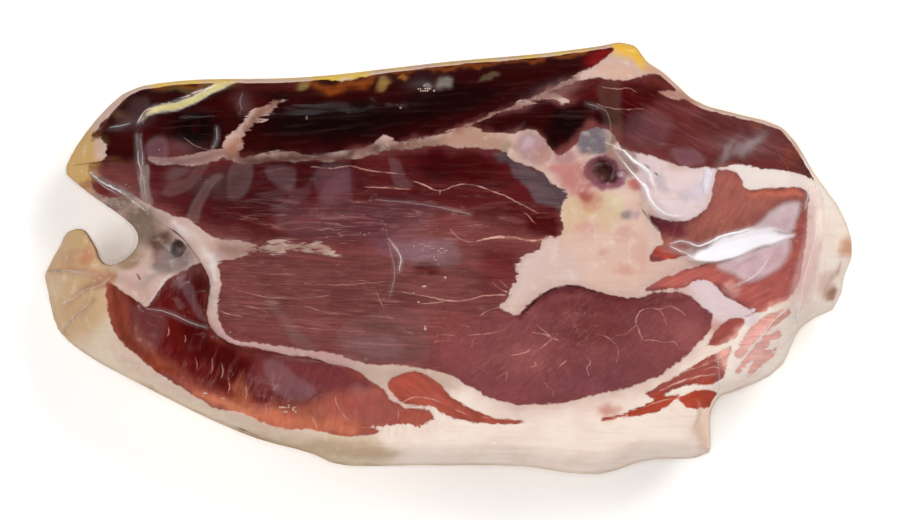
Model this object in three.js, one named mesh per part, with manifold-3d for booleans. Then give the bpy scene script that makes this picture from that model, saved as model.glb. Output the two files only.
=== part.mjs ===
// A block of boned cured ham, cut lengthwise and sealed in clear film drawn tight round it.
// It lies on its rind with the cut face up. Millimetres, +Z up, +X towards the butt end.
// The origin is under the middle of the block, on the surface that it rests on.
import * as THREE from "three";
import { mergeVertices } from "three/addons/utils/BufferGeometryUtils.js";
import Module from "manifold-3d";

const wasm = await Module();
wasm.setup();

// Heights above the table, and the sections of the sides
const FACE_HEIGHT = 64; // the cut face, at mid length
const WIDEST_SHARE = 0.52; // the block is widest at this share of the face's height
const RIM = { drop: 15, reach: 14, power: 2.4 }; // rounded rim of the cut face
const NOTCH_RIM = { drop: 7, reach: 9 };
// The flat foot lies inside the widest line, further in towards the two ends.
const FOOT_INSET = 33;
const FOOT_ENDS = [{ towards: -1, from: 60, reach: 90, more: 13 }, { towards: 1, from: 70, reach: 80, more: 9 }];
const SIDE_INSET = 0.4; // half way up the side, over the widest line

// How finely the block is faceted
const STATIONS = 108; // points round each ring, an even number
const UNDER_RINGS = 5;
const RIM_INSETS = [1.4, 3.2, 6, 10];
const FACE_RINGS = 9;
const NOTCH_SEGMENTS = 20;
const HOLE_FACETS = [12, 8];
const FOLD_FACETS = [6, 12]; // round the fold, and along it

// The block seen from above, anticlockwise from the shank's tip, the notch not yet cut.
const PLAN = [
  [-161, 38], [-160, 24], [-161, 10], [-167, -1], [-170, -7], [-168, -17], [-164, -31],
  [-152, -41], [-128, -54], [-100, -68], [-78, -77], [-57, -82.5], [-47, -87], [-10, -87.6],
  [32, -88], [50, -90.7], [66, -91], [83, -85.4], [107, -84], [111.5, -80], [110, -70],
  [113, -59], [121, -56.5], [140, -47], [149, -29], [164, -21], [167, -9], [171, 3],
  [166, 19], [155, 34], [141, 54.5], [124, 60], [104, 65.8], [92, 77], [84, 82],
  [77, 90.8], [65, 89.2], [40, 86], [0, 82.5], [-60, 76], [-112, 74.5], [-134, 70.3],
  [-146, 60], [-155.5, 48],
];
// Every ring shrinks towards this line along the middle of the cut face.
const SPINE = { y: 2, left: -98, right: 100 };

// The notch that the shank bone left, between the two lobes of the shank.
const NOTCH = [
  [-161, 35], [-149, 25.5], [-136, 16.5], [-130, 10], [-131, 3.5], [-138, -2],
  [-144.5, -2], [-147.5, 5], [-153, 12.5], [-161, 10.5],
];
const NOTCH_MOUTH = -178; // the notch's cutter reaches out to here

// The shank end slopes down, and the butt slopes away beyond the edge of its cut face.
const SHANK_SLOPE = { start: -124, reach: 48, drop: 30 };
const BUTT_EDGE = [[158, 50], [150, 32], [145, 8], [141, -12], [126, -25], [119, -40], [115, -60]];
const BUTT_SLOPE = { drop: 27, reach: 26 };

// The big middle muscle stands a step above the lower one along this line.
const STEP_EDGE = [[-122, 18], [-108, 7], [-100, -8], [-99, -20], [-94, -31], [-84, -37], [-64, -41], [-40, -45]];
const STEP = { drop: 4.5, softness: 4, reach: 34 };

// Swells and dips of the cut face
const SWELLS = [
  { x: -127, y: 5, radiusX: 16, radiusY: 20, height: -11 }, // hollow beside the notch
  { x: 60, y: -36, radiusX: 46, radiusY: 22, height: 2.4 }, // round muscle at the butt
  { x: -40, y: 12, radiusX: 60, radiusY: 26, height: 2 }, // big middle muscle
  { x: -110, y: 57, radiusX: 30, radiusY: 12, height: 2 }, // shank muscle
  { x: -30, y: 62, radiusX: 70, radiusY: 13, height: 1.8 }, // dark muscle at the top
  { x: 110, y: 50, radiusX: 30, radiusY: 12, height: 1.5 }, // small muscle at the butt
  { x: 34, y: 46, radiusX: 9, radiusY: 8, height: 2.4 }, // knuckle of gristle
  { x: 96, y: 27, radiusX: 14, radiusY: 11, height: 2.4 }, // pad of fat by the hip bone's seat
  { x: 63, y: 42, radiusX: 17, radiusY: 13, height: -5 }, // dip round the hip bone's seat
];
// Round holes: the hip bone's seat, and the end of a vein in the shank hollow
const HOLES = [
  { x: 64, y: 36.5, radiusX: 6.5, radiusY: 5, depth: 6 },
  { x: -112, y: 4, radiusX: 3.5, radiusY: 3.2, depth: 4 },
];
// Folds of film that stand on the face: route, width and height
const FOLDS = [
  { route: [[-86, 74], [-100, 68.5], [-115, 62], [-129, 56]], width: 6, height: 1.2 },
  { route: [[-130, 53], [-127.5, 38], [-126, 28], [-123, 15]], width: 4, height: 1.8 },
  { route: [[-149, 37], [-139, 31], [-131, 25.5], [-124, 19]], width: 4, height: 1.8 },
  { route: [[68, 44.5], [77, 41], [83, 34.5], [90, 31]], width: 3.6, height: 1.6 },
  { route: [[72, 42], [79, 34], [84, 26], [97, 15]], width: 3.2, height: 1.4 },
  { route: [[91, 5], [105, 3], [120, 7.5], [145, 13]], width: 9, height: 2 },
  { route: [[153, 34], [154, 15], [149, -8], [141, -38]], width: 9, height: 2.4 },
  { route: [[119, -42], [127, -34], [134, -26], [143, -19]], width: 6, height: 1.6 },
  { route: [[-171, -6], [-157, -6.5], [-145, -9], [-136, -10]], width: 3.6, height: 1.5 },
];

const LOOKS = { color: 0x8a4a42, roughness: 0.25, metalness: 0 };

const clamp01 = (v) => Math.min(1, Math.max(0, v));
const smooth = (v) => clamp01(v) ** 2 * (3 - 2 * clamp01(v));

// Distance in plan from a point to a line of points, positive on the line's left.
function sideDistance(line, x, y) {
  let nearest = Infinity;
  let side = 1;
  for (let i = 0; i + 1 < line.length; i++) {
    const [ax, ay] = line[i];
    const [dx, dy] = [line[i + 1][0] - ax, line[i + 1][1] - ay];
    const along = clamp01(((x - ax) * dx + (y - ay) * dy) / (dx * dx + dy * dy));
    const away = Math.hypot(x - ax - along * dx, y - ay - along * dy);
    if (away < nearest) {
      nearest = away;
      side = dx * (y - ay) < dy * (x - ax) ? -1 : 1;
    }
  }
  return side * nearest;
}

const planCurve = new THREE.CatmullRomCurve3(
  PLAN.map(([x, y]) => new THREE.Vector3(x, y, 0)), true, "centripetal");
const outline = planCurve.getSpacedPoints(STATIONS).slice(0, STATIONS);
const outlineLine = [...outline, outline[0]].map((p) => [p.x, p.y]);

// Height of the cut face, before its rim is rounded
function faceHeight(x, y) {
  let z = FACE_HEIGHT;
  z -= SHANK_SLOPE.drop * smooth((SHANK_SLOPE.start - x) / SHANK_SLOPE.reach);
  z -= BUTT_SLOPE.drop * smooth(sideDistance(BUTT_EDGE, x, y) / BUTT_SLOPE.reach);
  for (const s of SWELLS)
    z += s.height * Math.exp(-(((x - s.x) / s.radiusX) ** 2) - ((y - s.y) / s.radiusY) ** 2);
  const below = -sideDistance(STEP_EDGE, x, y);
  return z - STEP.drop * smooth(below / STEP.softness) * (1 - smooth(below / STEP.reach));
}

// Height of the finished top, rounded off towards the outline and the notch
function topHeight(x, y) {
  const rim = clamp01(1 - Math.abs(sideDistance(outlineLine, x, y)) / RIM.reach);
  const notch = clamp01(1 - Math.abs(sideDistance(NOTCH, x, y)) / NOTCH_RIM.reach);
  return faceHeight(x, y) - Math.max(RIM.drop * rim ** RIM.power, NOTCH_RIM.drop * notch ** RIM.power);
}

// The point of the spine that a station of the outline shrinks to
function spinePoint(station) {
  const share = 1 - Math.abs(1 - (2 * station) / STATIONS);
  return new THREE.Vector3(THREE.MathUtils.lerp(SPINE.left, SPINE.right, share), SPINE.y, 0);
}

// A station of the outline, moved in by a distance
const inset = (station, distance) => outline[station].clone().addScaledVector(
  spinePoint(station).sub(outline[station]).normalize(), distance);

// How far the foot lies inside the widest line at a place along the block
const footInset = (x) => FOOT_ENDS.reduce(
  (sum, end) => sum + end.more * smooth((end.towards * x - end.from) / end.reach), FOOT_INSET);

// Rings of the block, from its flat foot over the sides to the spine of the face
function blockRings() {
  const stations = [...outline.keys()];
  const widest = outline.map((p) => WIDEST_SHARE * faceHeight(p.x, p.y));
  const onTop = (p) => p.setZ(topHeight(p.x, p.y));
  const rings = [];
  for (let k = 0; k < UNDER_RINGS; k++) {
    const angle = (k / UNDER_RINGS) * (Math.PI / 2);
    rings.push(stations.map((i) => inset(i, footInset(outline[i].x) * (1 - Math.sin(angle)))
      .setZ(widest[i] * (1 - Math.cos(angle)))));
  }
  rings.push(stations.map((i) => outline[i].clone().setZ(widest[i])));
  rings.push(stations.map((i) => inset(i, SIDE_INSET)
    .setZ((widest[i] + topHeight(outline[i].x, outline[i].y)) / 2)));
  for (const distance of RIM_INSETS) rings.push(stations.map((i) => onTop(inset(i, distance))));
  for (let k = 1; k <= FACE_RINGS; k++)
    rings.push(stations.map((i) => onTop(inset(i, RIM_INSETS.at(-1)).lerp(spinePoint(i), k / FACE_RINGS))));
  return rings;
}

// A closed surface over rings of equal length, its first ring filled from the middle.
// The last ring runs out and back along one line, where its two halves are merged.
function loft(rings) {
  const count = rings[0].length;
  const middle = rings[0].reduce((sum, p) => sum.add(p), new THREE.Vector3()).divideScalar(count);
  const points = [...rings.flat(), middle];
  const faces = [];
  for (let i = 0; i < count; i++) {
    const next = (i + 1) % count;
    faces.push(points.length - 1, next, i);
    for (let row = 0; row + 1 < rings.length; row++) {
      const [a, b, c, d] = [row * count + i, row * count + next, (row + 1) * count + next, (row + 1) * count + i];
      faces.push(a, b, c, a, c, d);
    }
  }
  return new THREE.BufferGeometry().setFromPoints(points).setIndex(faces);
}

// A fold of film: a ball drawn out along its route, half of it above the face
function foldGeometry({ route, width, height }) {
  const curve = new THREE.CatmullRomCurve3(route.map(([x, y]) => new THREE.Vector3(x, y, 0)));
  const geometry = new THREE.SphereGeometry(1, ...FOLD_FACETS).rotateZ(Math.PI / 2);
  const place = geometry.attributes.position;
  for (let i = 0; i < place.count; i++) {
    const along = clamp01((place.getX(i) + 1) / 2);
    const at = curve.getPointAt(along);
    const ahead = curve.getTangentAt(along);
    const aside = (place.getY(i) * width) / 2;
    place.setXYZ(i, at.x - ahead.y * aside, at.y + ahead.x * aside,
      topHeight(at.x, at.y) + place.getZ(i) * height);
  }
  return geometry;
}

// A round hole in the face
const holeGeometry = (h) => new THREE.SphereGeometry(1, ...HOLE_FACETS)
  .scale(h.radiusX, h.radiusY, h.depth).translate(h.x, h.y, topHeight(h.x, h.y));

// The cutter of the notch, upright from under the foot to over the face
function notchGeometry() {
  const corners = NOTCH.map(([x, y]) => new THREE.Vector2(x, y));
  const shape = new THREE.Shape();
  shape.moveTo(NOTCH_MOUTH, corners[0].y).lineTo(corners[0].x, corners[0].y);
  shape.splineThru(corners.slice(1)).lineTo(NOTCH_MOUTH, corners.at(-1).y);
  const options = { depth: 2 * FACE_HEIGHT, bevelEnabled: false, curveSegments: NOTCH_SEGMENTS };
  return new THREE.ExtrudeGeometry(shape, options).translate(0, 0, -FACE_HEIGHT / 2);
}

function toSolid(geometry) {
  const bare = geometry.clone();
  bare.deleteAttribute("normal");
  bare.deleteAttribute("uv");
  const merged = mergeVertices(bare, 1e-4);
  const triVerts = [];
  for (let i = 0; i < merged.index.count; i += 3) {
    const [a, b, c] = [0, 1, 2].map((k) => merged.index.getX(i + k));
    if (a !== b && b !== c && c !== a) triVerts.push(a, b, c);
  }
  return new wasm.Manifold(new wasm.Mesh({
    numProp: 3,
    vertProperties: new Float32Array(merged.attributes.position.array),
    triVerts: new Uint32Array(triVerts),
  }));
}

function toGeometry(solid) {
  const { vertProperties, triVerts } = solid.getMesh();
  const geometry = new THREE.BufferGeometry();
  geometry.setAttribute("position", new THREE.BufferAttribute(vertProperties, 3));
  geometry.setIndex(new THREE.BufferAttribute(triVerts, 1));
  geometry.computeVertexNormals();
  return geometry;
}

let block = toSolid(loft(blockRings())).subtract(toSolid(notchGeometry()));
for (const hole of HOLES) block = block.subtract(toSolid(holeGeometry(hole)));
for (const fold of FOLDS) block = block.add(toSolid(foldGeometry(fold)));

const hamPack = new THREE.Mesh(toGeometry(block), new THREE.MeshStandardMaterial(LOOKS));
hamPack.name = "ham_pack";

const ham = new THREE.Group();
ham.add(hamPack);
export default ham;
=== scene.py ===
import bpy
import bmesh
import numpy as np
from mathutils import Euler, Matrix, Vector, noise
from mathutils.kdtree import KDTree


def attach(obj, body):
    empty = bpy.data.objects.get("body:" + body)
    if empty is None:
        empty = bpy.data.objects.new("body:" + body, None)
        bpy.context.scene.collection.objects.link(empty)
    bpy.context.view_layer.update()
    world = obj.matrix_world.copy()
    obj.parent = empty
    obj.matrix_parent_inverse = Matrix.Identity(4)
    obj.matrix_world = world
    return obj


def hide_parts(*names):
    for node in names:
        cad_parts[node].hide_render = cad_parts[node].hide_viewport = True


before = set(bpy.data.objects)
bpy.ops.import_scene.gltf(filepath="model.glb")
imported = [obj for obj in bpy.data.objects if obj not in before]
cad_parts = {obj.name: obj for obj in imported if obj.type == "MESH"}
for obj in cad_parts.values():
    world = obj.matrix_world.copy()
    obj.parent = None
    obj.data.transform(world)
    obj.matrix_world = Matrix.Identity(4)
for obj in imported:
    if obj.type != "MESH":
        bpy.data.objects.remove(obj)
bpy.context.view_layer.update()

# The ham: half a leg of pork, boned, cured and dried, then cut lengthwise. Lean, fat and rind are
# one piece, so one mesh holds them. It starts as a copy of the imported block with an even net,
# twice as fine on the cut face, and lies a film's thickness inside it.
MM = 0.001
NET = 1.86 * MM
FACE_UP = 0.5
FILM_GAP = 0.55 * MM
# How far a surface's normal points up where the side walls end and where the cut face begins
WALL_ENDS, TOP_BEGINS = 0.25, 0.75


def read_vertices(mesh, what="co"):
    """The vertices' places, or their normals, as rows of x, y and z."""
    flat = np.empty(3 * len(mesh.vertices))
    mesh.vertices.foreach_get(what, flat)
    return flat.reshape(-1, 3)


def block_copy(name, net):
    """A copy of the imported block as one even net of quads, finer where it faces up."""
    piece = bpy.data.objects.new(name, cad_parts["ham_pack"].data.copy())
    bpy.context.collection.objects.link(piece)
    remesh = piece.modifiers.new("net", "REMESH")
    remesh.mode = "VOXEL"
    remesh.voxel_size = net
    shaped = bpy.data.meshes.new_from_object(
        piece.evaluated_get(bpy.context.evaluated_depsgraph_get()))
    shaped.materials.clear()
    piece.modifiers.clear()
    piece.data = shaped
    fine = bmesh.new()
    fine.from_mesh(shaped)
    upper = [e for e in fine.edges if any(f.normal.z > FACE_UP for f in e.link_faces)]
    bmesh.ops.subdivide_edges(fine, edges=upper, cuts=1, use_grid_fill=True)
    fine.to_mesh(shaped)
    fine.free()
    shaped.polygons.foreach_set("use_smooth", [True] * len(shaped.polygons))
    return piece


def relax(places, mesh, rounds, shares=(0.5, -0.52)):
    """Smooths a net by turns of drawing each vertex to its neighbours' middle and pushing it back."""
    flat = np.empty(2 * len(mesh.edges), int)
    mesh.edges.foreach_get("vertices", flat)
    a, b = flat.reshape(-1, 2).T
    count = np.bincount(a, minlength=len(places)) + np.bincount(b, minlength=len(places))
    for share in shares * rounds:
        middle = np.stack([np.bincount(a, axis[b], len(places)) + np.bincount(b, axis[a], len(places))
                           for axis in places.T], axis=1)
        places = places + share * (middle / count[:, None] - places)
    return places


def write_vertices(mesh, places):
    """Moves the vertices to new places."""
    mesh.vertices.foreach_set("co", places.ravel())
    mesh.update()


ham = block_copy("ham", NET)
ham_places = relax(read_vertices(ham.data), ham.data, rounds=6)
write_vertices(ham.data, ham_places)
ham_normals = read_vertices(ham.data, "normal")
ham_places = ham_places - FILM_GAP * ham_normals
x, y = ham_places[:, 0] / MM, ham_places[:, 1] / MM
facing_up = np.clip((ham_normals[:, 2] - WALL_ENDS) / (TOP_BEGINS - WALL_ENDS), 0, 1)

# The pattern of the cut face: muscles lie in fat, parted by seams of fat. Outlines and seams are
# curves through a few points, x and y in mm, and a seam's third number is its thickness. The
# pattern is kept as distances on the net, so that the material can draw its edges sharp.
FAR = 40.0
# Distances are worked out for a part of the net at a time, so that their table stays small.
PARTS = 12
TINY = 1e-12


def curve_through(points, closed=False, step=1.5):
    """A smooth line through points, in short steps. Widths given with the points run along it."""
    points = np.array(points, float)
    if closed:
        points = np.vstack([points[-1:], points, points[:2]])
    else:
        points = np.vstack([2 * points[0] - points[1], points, 2 * points[-1] - points[-2]])
    gaps = np.linalg.norm(np.diff(points[:, :2], axis=0), axis=1)[:, None]
    slopes = np.diff(points, axis=0) / gaps
    bends = (slopes[:-1] * gaps[1:] + slopes[1:] * gaps[:-1]) / (gaps[1:] + gaps[:-1])
    line = []
    for i in range(len(bends) - 1):
        gap = gaps[i + 1]
        t = np.linspace(0, 1, int(gap[0] / step) + 2)[:-1, None]
        line.append((2 * t ** 3 - 3 * t ** 2 + 1) * points[i + 1]
                    + (3 * t ** 2 - 2 * t ** 3) * points[i + 2]
                    + gap * ((t ** 3 - 2 * t ** 2 + t) * bends[i] + (t ** 3 - t ** 2) * bends[i + 1]))
    return np.vstack(line + [points[-2:-1]])


def nearest_on(line, px, py):
    """Distance to a line, the side of it (1 on its left), and the place along it, for each point."""
    step = np.diff(line[:, :2], axis=0)
    rx = px[:, None] - line[:-1, 0]
    ry = py[:, None] - line[:-1, 1]
    along = np.clip((rx * step[:, 0] + ry * step[:, 1]) / (step ** 2).sum(axis=1), 0, 1)
    away = np.hypot(rx - along * step[:, 0], ry - along * step[:, 1])
    best = away.argmin(axis=1)
    row = np.arange(len(px))
    side = np.where(step[best, 0] * ry[row, best] < step[best, 1] * rx[row, best], -1.0, 1.0)
    return away[row, best], side, best + along[row, best]


def near(line, px, py, reach):
    """Which places lie in the box round a line, widened by a reach."""
    low, high = line[:, :2].min(axis=0) - reach, line[:, :2].max(axis=0) + reach
    return np.flatnonzero((px > low[0]) & (px < high[0]) & (py > low[1]) & (py < high[1]))


def seam(route, px, py, reach=8):
    """How deep each place lies in a band along a route, in mm: over 0 inside it."""
    line = curve_through(route)
    field = np.full(len(px), -FAR)
    for part in np.array_split(near(line, px, py, reach), PARTS):
        away, _, at = nearest_on(line, px[part], py[part])
        field[part] = np.interp(at, np.arange(len(line)), line[:, 2] / 2) - away
    return field


def area(outline, px, py, reach=8):
    """How deep each place lies inside a closed outline, in mm: over 0 inside it."""
    line = curve_through(outline, closed=True)
    field = np.full(len(px), -FAR)
    ax, ay, bx, by = line[:-1, 0], line[:-1, 1], line[1:, 0], line[1:, 1]
    for part in np.array_split(near(line, px, py, reach), PARTS):
        away, _, _ = nearest_on(line, px[part], py[part])
        qx, qy = px[part][:, None], py[part][:, None]
        crosses = ((ay > qy) != (by > qy)) & (qx < (bx - ax) * (qy - ay) / (by - ay + TINY) + ax)
        field[part] = np.where(crosses.sum(axis=1) % 2 == 1, away, -away)
    return field


def blob(px, py, cx, cy, rx, ry, turn=0):
    """A soft patch, 1 in its middle and 0.37 at its radii."""
    c, s = np.cos(np.radians(turn)), np.sin(np.radians(turn))
    u, v = (px - cx) * c + (py - cy) * s, (py - cy) * c - (px - cx) * s
    return np.exp(-(u / rx) ** 2 - (v / ry) ** 2)


def soft(field, width=0.8):
    """1 inside a field's edge and 0 outside, with a soft way of twice the width between them."""
    t = np.clip(field / (2 * width) + 0.5, 0, 1)
    return t * t * (3 - 2 * t)


# Lean: the outlines of the muscles, or of groups of them that only thin seams part.
MUSCLES = [
    # the long muscles at the top and in the middle, and the round one at the butt
    [(-150, 38.5), (-144, 40.5), (-142, 45), (-145, 50), (-150.6, 48.4), (-152, 50), (-147, 58),
        (-142, 64.6), (-137, 69), (-130, 70), (-122, 71.6), (-108, 73.6), (-90, 74.4), (-70, 75),
        (-60, 75.6), (-52, 74.4), (-45, 73.4), (-35, 75.2), (-25, 78.5), (-10, 79), (0, 81.2),
        (20, 82.5), (45, 85), (58, 87), (69, 87), (67, 82), (62, 77.5), (56, 74), (62, 74.6), (70, 74),
        (76, 74), (82, 76), (88, 77.5), (92, 76), (98, 69.5), (103, 64.5), (115, 60), (124, 58.5),
        (134, 55.5), (141, 53), (146, 46), (150, 39), (153, 32), (145, 35), (140, 36.2), (130, 37),
        (120, 38.5), (112, 37), (102, 37.3), (92, 39.5), (82, 43), (73, 44.5), (69, 51), (62, 54.5),
        (56, 52), (52, 46), (46, 43), (42.5, 45.5), (40, 50), (35, 53.5), (29, 52.5), (24, 47),
        (25, 42.5), (32, 38.5), (40, 35.5), (43, 31), (47, 29), (50, 25.5), (48, 22), (46.7, 18),
        (47.6, 12), (46.5, 8.6), (40, 8.2), (38, 4), (31, 0), (28, -4), (28, -8), (25.5, -14.5),
        (24.5, -18), (21.3, -20), (25, -22.6), (29, -24.2), (33, -20), (39, -15.5), (45, -12.3),
        (52, -11.5), (60, -13.8), (70, -16), (80, -16.3), (90, -14.3), (97, -14.7), (102, -16.5),
        (107, -20.5), (112, -23), (112, -27), (107, -34), (101, -41), (93, -47), (84, -51), (75, -54.2),
        (65, -56.5), (55, -59), (45, -60.6), (35, -61.4), (25, -60.5), (17, -58), (10, -55), (4, -50.5),
        (-5, -47.4), (-12, -45.6), (-25, -44.8), (-35, -43.5), (-50, -39.7), (-65, -37.5), (-80, -35.4),
        (-88, -34.4), (-94, -30), (-96, -25), (-95, -17), (-94.5, -10), (-96, -5), (-95, 1), (-97, 8),
        (-101, 11), (-109, 14.5), (-118, 19.5), (-127, 23), (-133, 26.5), (-137, 25.2), (-143, 25.2),
        (-148, 29), (-149.6, 34)],
    # the lower muscle at the shank
    [(-141.7, -10.5), (-142, -15), (-141, -25), (-139, -31), (-132, -38.5), (-122, -47), (-112, -53),
        (-103, -59), (-97, -62.8), (-84, -65), (-77, -68.5), (-67, -71.5), (-55, -72), (-45, -74),
        (-35, -74.2), (-28, -72.2), (-33, -70.5), (-20, -69.5), (-10, -69.2), (-6, -66), (-10, -63),
        (-20, -61.4), (-24, -57.5), (-28.5, -53.2), (-35, -48.6), (-45, -45), (-55, -42.2),
        (-65, -40.5), (-80, -37.5), (-88, -36.3), (-95, -32), (-99.5, -25), (-99, -15), (-99.5, -8),
        (-103, -3.5), (-112, -6.4), (-116, -8.2), (-119.3, -12.3), (-122.2, -17), (-125.5, -20.5),
        (-129, -18), (-133, -15.5), (-137, -13.5)],
    # the small pointed muscle under the middle
    [(-25, -51), (-20, -49.3), (-13, -48), (-8, -49.3), (-3, -53), (1, -57.6), (8, -62), (13, -64),
        (20, -66.5), (27, -67.5), (33, -68.5), (28, -69.5), (20, -69.5), (12, -69), (4, -67),
        (-4, -63.8), (-12, -62), (-19, -60.2), (-23, -56.5), (-25.5, -53)],
    # the muscles at the butt, from the hip bone's seat down to the end of the cut
    [(82, -13.6), (87, -10), (92, -7.3), (97, -5.5), (104, -3.3), (110, -1.2), (103, 1.6), (97, 0.3),
        (90, -1.2), (84, -1.5), (86, 3.5), (90, 6), (88.5, 9.5), (86, 14), (82.5, 18.5), (88, 15.6),
        (95, 15), (104, 17.5), (109.5, 24), (110, 31), (113, 36.5), (118, 36.2), (121.5, 34),
        (123.5, 29.5), (127, 28.6), (133, 28.8), (141, 29.3), (148.5, 28.5), (150, 18), (149, 5),
        (147, -6), (143.5, -16), (136, -20), (128, -21.6), (120, -18.6), (114, -14.6), (110, -10.6),
        (104, -9.6), (99, -12), (90, -13.2)],
    # three slips of muscle between the fat of the butt
    [(107, -36.5), (111, -31), (116, -26.5), (121, -24.6), (124, -26), (121, -30.5), (117, -35)],
    [(118, -37.5), (110, -40.5), (102, -45), (96, -49), (88, -53), (82.5, -56.5), (86, -58.5),
        (94, -55.2), (101, -52.8), (110, -52.7), (114, -50), (116.5, -43)],
    [(64, -67.5), (73, -65.2), (83, -61), (90, -58), (97, -57), (92, -61.5), (84, -65), (73, -66.7)],
    [(96, -59), (101, -56.5), (108, -55.4), (113, -57), (112, -61), (106, -63), (99, -61.8)],
]
# Streaks of lean in the fat of the turned-away end: route and thickness
LEAN_STREAKS = [
    [(121, -41, 3), (126, -34, 5.5), (133, -27.5, 6), (141, -23, 4)],
    [(121, -47, 2), (126, -41.5, 3), (131, -36.5, 3.5), (138, -31.5, 2)],
    [(126, -48, 2), (131, -43.5, 6), (138, -39, 3)],
    [(119, -56, 2), (124, -53, 3), (131, -49.5, 3), (138, -46, 1.5)],
    [(124, -24.5, 1), (130, -21.5, 2.2), (136, -19.5, 2)],
]
# Seams and patches of fat that lie over the lean
FAT_SEAMS = [
    # the main seam along the ham, from the shank to the gristle
    [(-124, 41, 1.4), (-121.5, 40.4, 2.7), (-112, 40.2, 3.6), (-103, 41, 5.2), (-96, 42.8, 5),
        (-90, 43, 4.4), (-87, 40.8, 3.2), (-75, 41.6, 4), (-64, 42.1, 3.8), (-57.5, 41.4, 2.7),
        (-49.7, 41.3, 3.2), (-41, 42.8, 4), (-35.7, 43.6, 3.8), (-30.4, 44.9, 5), (-27, 46.9, 5),
        (-22.9, 46.3, 3.8), (-12, 47.5, 4.2), (-3, 48.9, 4.8), (3, 49.4, 7.4), (10, 50, 9),
        (15, 48.7, 7), (21, 48.2, 7), (28, 47.3, 9)],
    [(-29, 47, 1), (-26.5, 49.6, 2), (-23, 49, 1)],
    # the seam that climbs from it to the fat corner, and its branch
    [(4, 53, 2), (10, 55.5, 1.6), (15, 57.6, 1.2), (20, 60, 1), (25, 61.5, 1.4), (30, 63.5, 2),
        (37, 66, 2.6), (42, 69, 2), (47, 71.5, 1.8), (53, 74, 2.4), (60, 77, 4)],
    [(38, 66, 2.6), (42, 67, 3), (46, 66.4, 2), (50, 65, 1.4)],
    [(46, 66, 1.6), (48, 64, 1)],
    # the seam under the middle muscle, with the fork at its thickest place
    [(-96, -28, 2.6), (-92, -33.6, 2), (-87, -35.4, 1.6), (-80, -36.5, 2), (-65, -39, 3),
        (-55, -40.7, 3), (-45, -43, 4), (-40, -44.5, 4), (-35, -46, 5), (-30, -48, 7.5),
        (-27.5, -48.8, 8.4), (-24.5, -46.8, 4.4), (-20, -47, 3.6), (-13, -46.5, 2.2), (-8, -47.6, 2.2),
        (-3, -50.2, 3.8), (1, -52.6, 5.6), (6, -56, 7), (11, -59, 8)],
    [(-29, -51, 2.4), (-26, -54.5, 1.3), (-22.5, -59.2, 1.2), (-19, -61, 1.2), (-13, -62.2, 1.3),
        (-7, -63, 1.6), (-3, -65, 2)],
    # the band of fat along the step, and the seam that runs in from it
    [(-121, 18.5, 1), (-116, 16, 4), (-110, 12.4, 8), (-105, 8, 9), (-101, 3, 8), (-99, -2, 5),
        (-97.6, -6, 4.6), (-96.6, -10, 4.2), (-97, -15, 4.4), (-97.5, -20, 5), (-98, -25, 4),
        (-95.8, -30, 3.2), (-91, -34, 2.4)],
    [(-104, 5, 9), (-96, 3.3, 10), (-90, 3, 8.4), (-85, 4, 6.4), (-80, 4, 3.4), (-77, 3.6, 2.2),
        (-73, 4, 4.4), (-68, 4.3, 5.2), (-62, 5, 4), (-57, 4, 3), (-53, 4.2, 4.4), (-49, 2.4, 3.6),
        (-45, 0.6, 1.2)],
    # fat between the muscles of the shank
    [(-92, 43, 5), (-89, 47.5, 8.4), (-86.4, 51.5, 5)],
    [(-86, 52, 3.4), (-82, 57, 4.6), (-77, 60.3, 4.8), (-72.5, 63.5, 3), (-66, 66, 1)],
    # the white wedge between the round muscle and the butt, and the seam on from it
    [(96, -13.8, 1.2), (101, -13.4, 4), (106, -14.6, 8.4), (111, -18.4, 9.6), (116, -21.6, 7.6),
        (122, -22.6, 4.4), (127, -22.6, 1.2)],
    [(112.5, -23, 4), (110.4, -30, 2.6), (105.6, -37, 3.6), (99.5, -43.6, 4.8), (91, -49.5, 4.6),
        (83, -53.6, 4.6), (74, -57.6, 5)],
    # the small strand of fat through the lowest seam of the butt
    [(82, -5.6, 7), (90, -4.7, 6.6), (97, -3, 5), (104, -1, 3.2), (111, 0, 1)],
    # cream wedge and edge fat at the top of the butt
    [(88, 69, 1), (92, 68, 3.4), (97, 67.4, 3.6), (101, 66.8, 2)],
    # the corner of fat at the top
    [(60, 77, 4), (66, 78.5, 8), (72, 81, 12), (77, 84, 13), (82, 80.6, 7), (88, 78.6, 3)],
]
# Fat over lean with an outline of its own: the lobe and band at the hip bone's seat
FAT_AREAS = [
    [(72, 45), (77, 44), (82, 43), (87, 41), (92, 39.5), (97, 38), (102, 37.3), (110, 37), (111, 34),
        (110, 28), (109.5, 24), (104, 17.5), (98, 15.4), (91, 15.6), (84, 19), (76, 26), (70, 34)],
    [(110, 37.4), (116, 37.8), (120, 38.5), (125, 38), (130, 37), (140, 36.2), (147, 34.8), (153, 32),
        (157, 27), (150, 29.6), (140, 29.4), (130, 28.6), (124.5, 28.4), (123, 31), (120.5, 35),
        (115, 36.6)],
]

fat = np.full(len(x), FAR)
for outline in MUSCLES:
    fat = np.minimum(fat, -area(outline, x, y))
for route in LEAN_STREAKS:
    fat = np.minimum(fat, -seam(route, x, y))
for route in FAT_SEAMS:
    fat = np.maximum(fat, seam(route, x, y))
for outline in FAT_AREAS:
    fat = np.maximum(fat, area(outline, x, y))
# Round the sides and below, fat and rind cover the muscles.
SIDE_STARTS, SIDE_SLOPE = 0.26, 14
fat = np.maximum(fat, SIDE_SLOPE * (SIDE_STARTS - facing_up))

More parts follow.
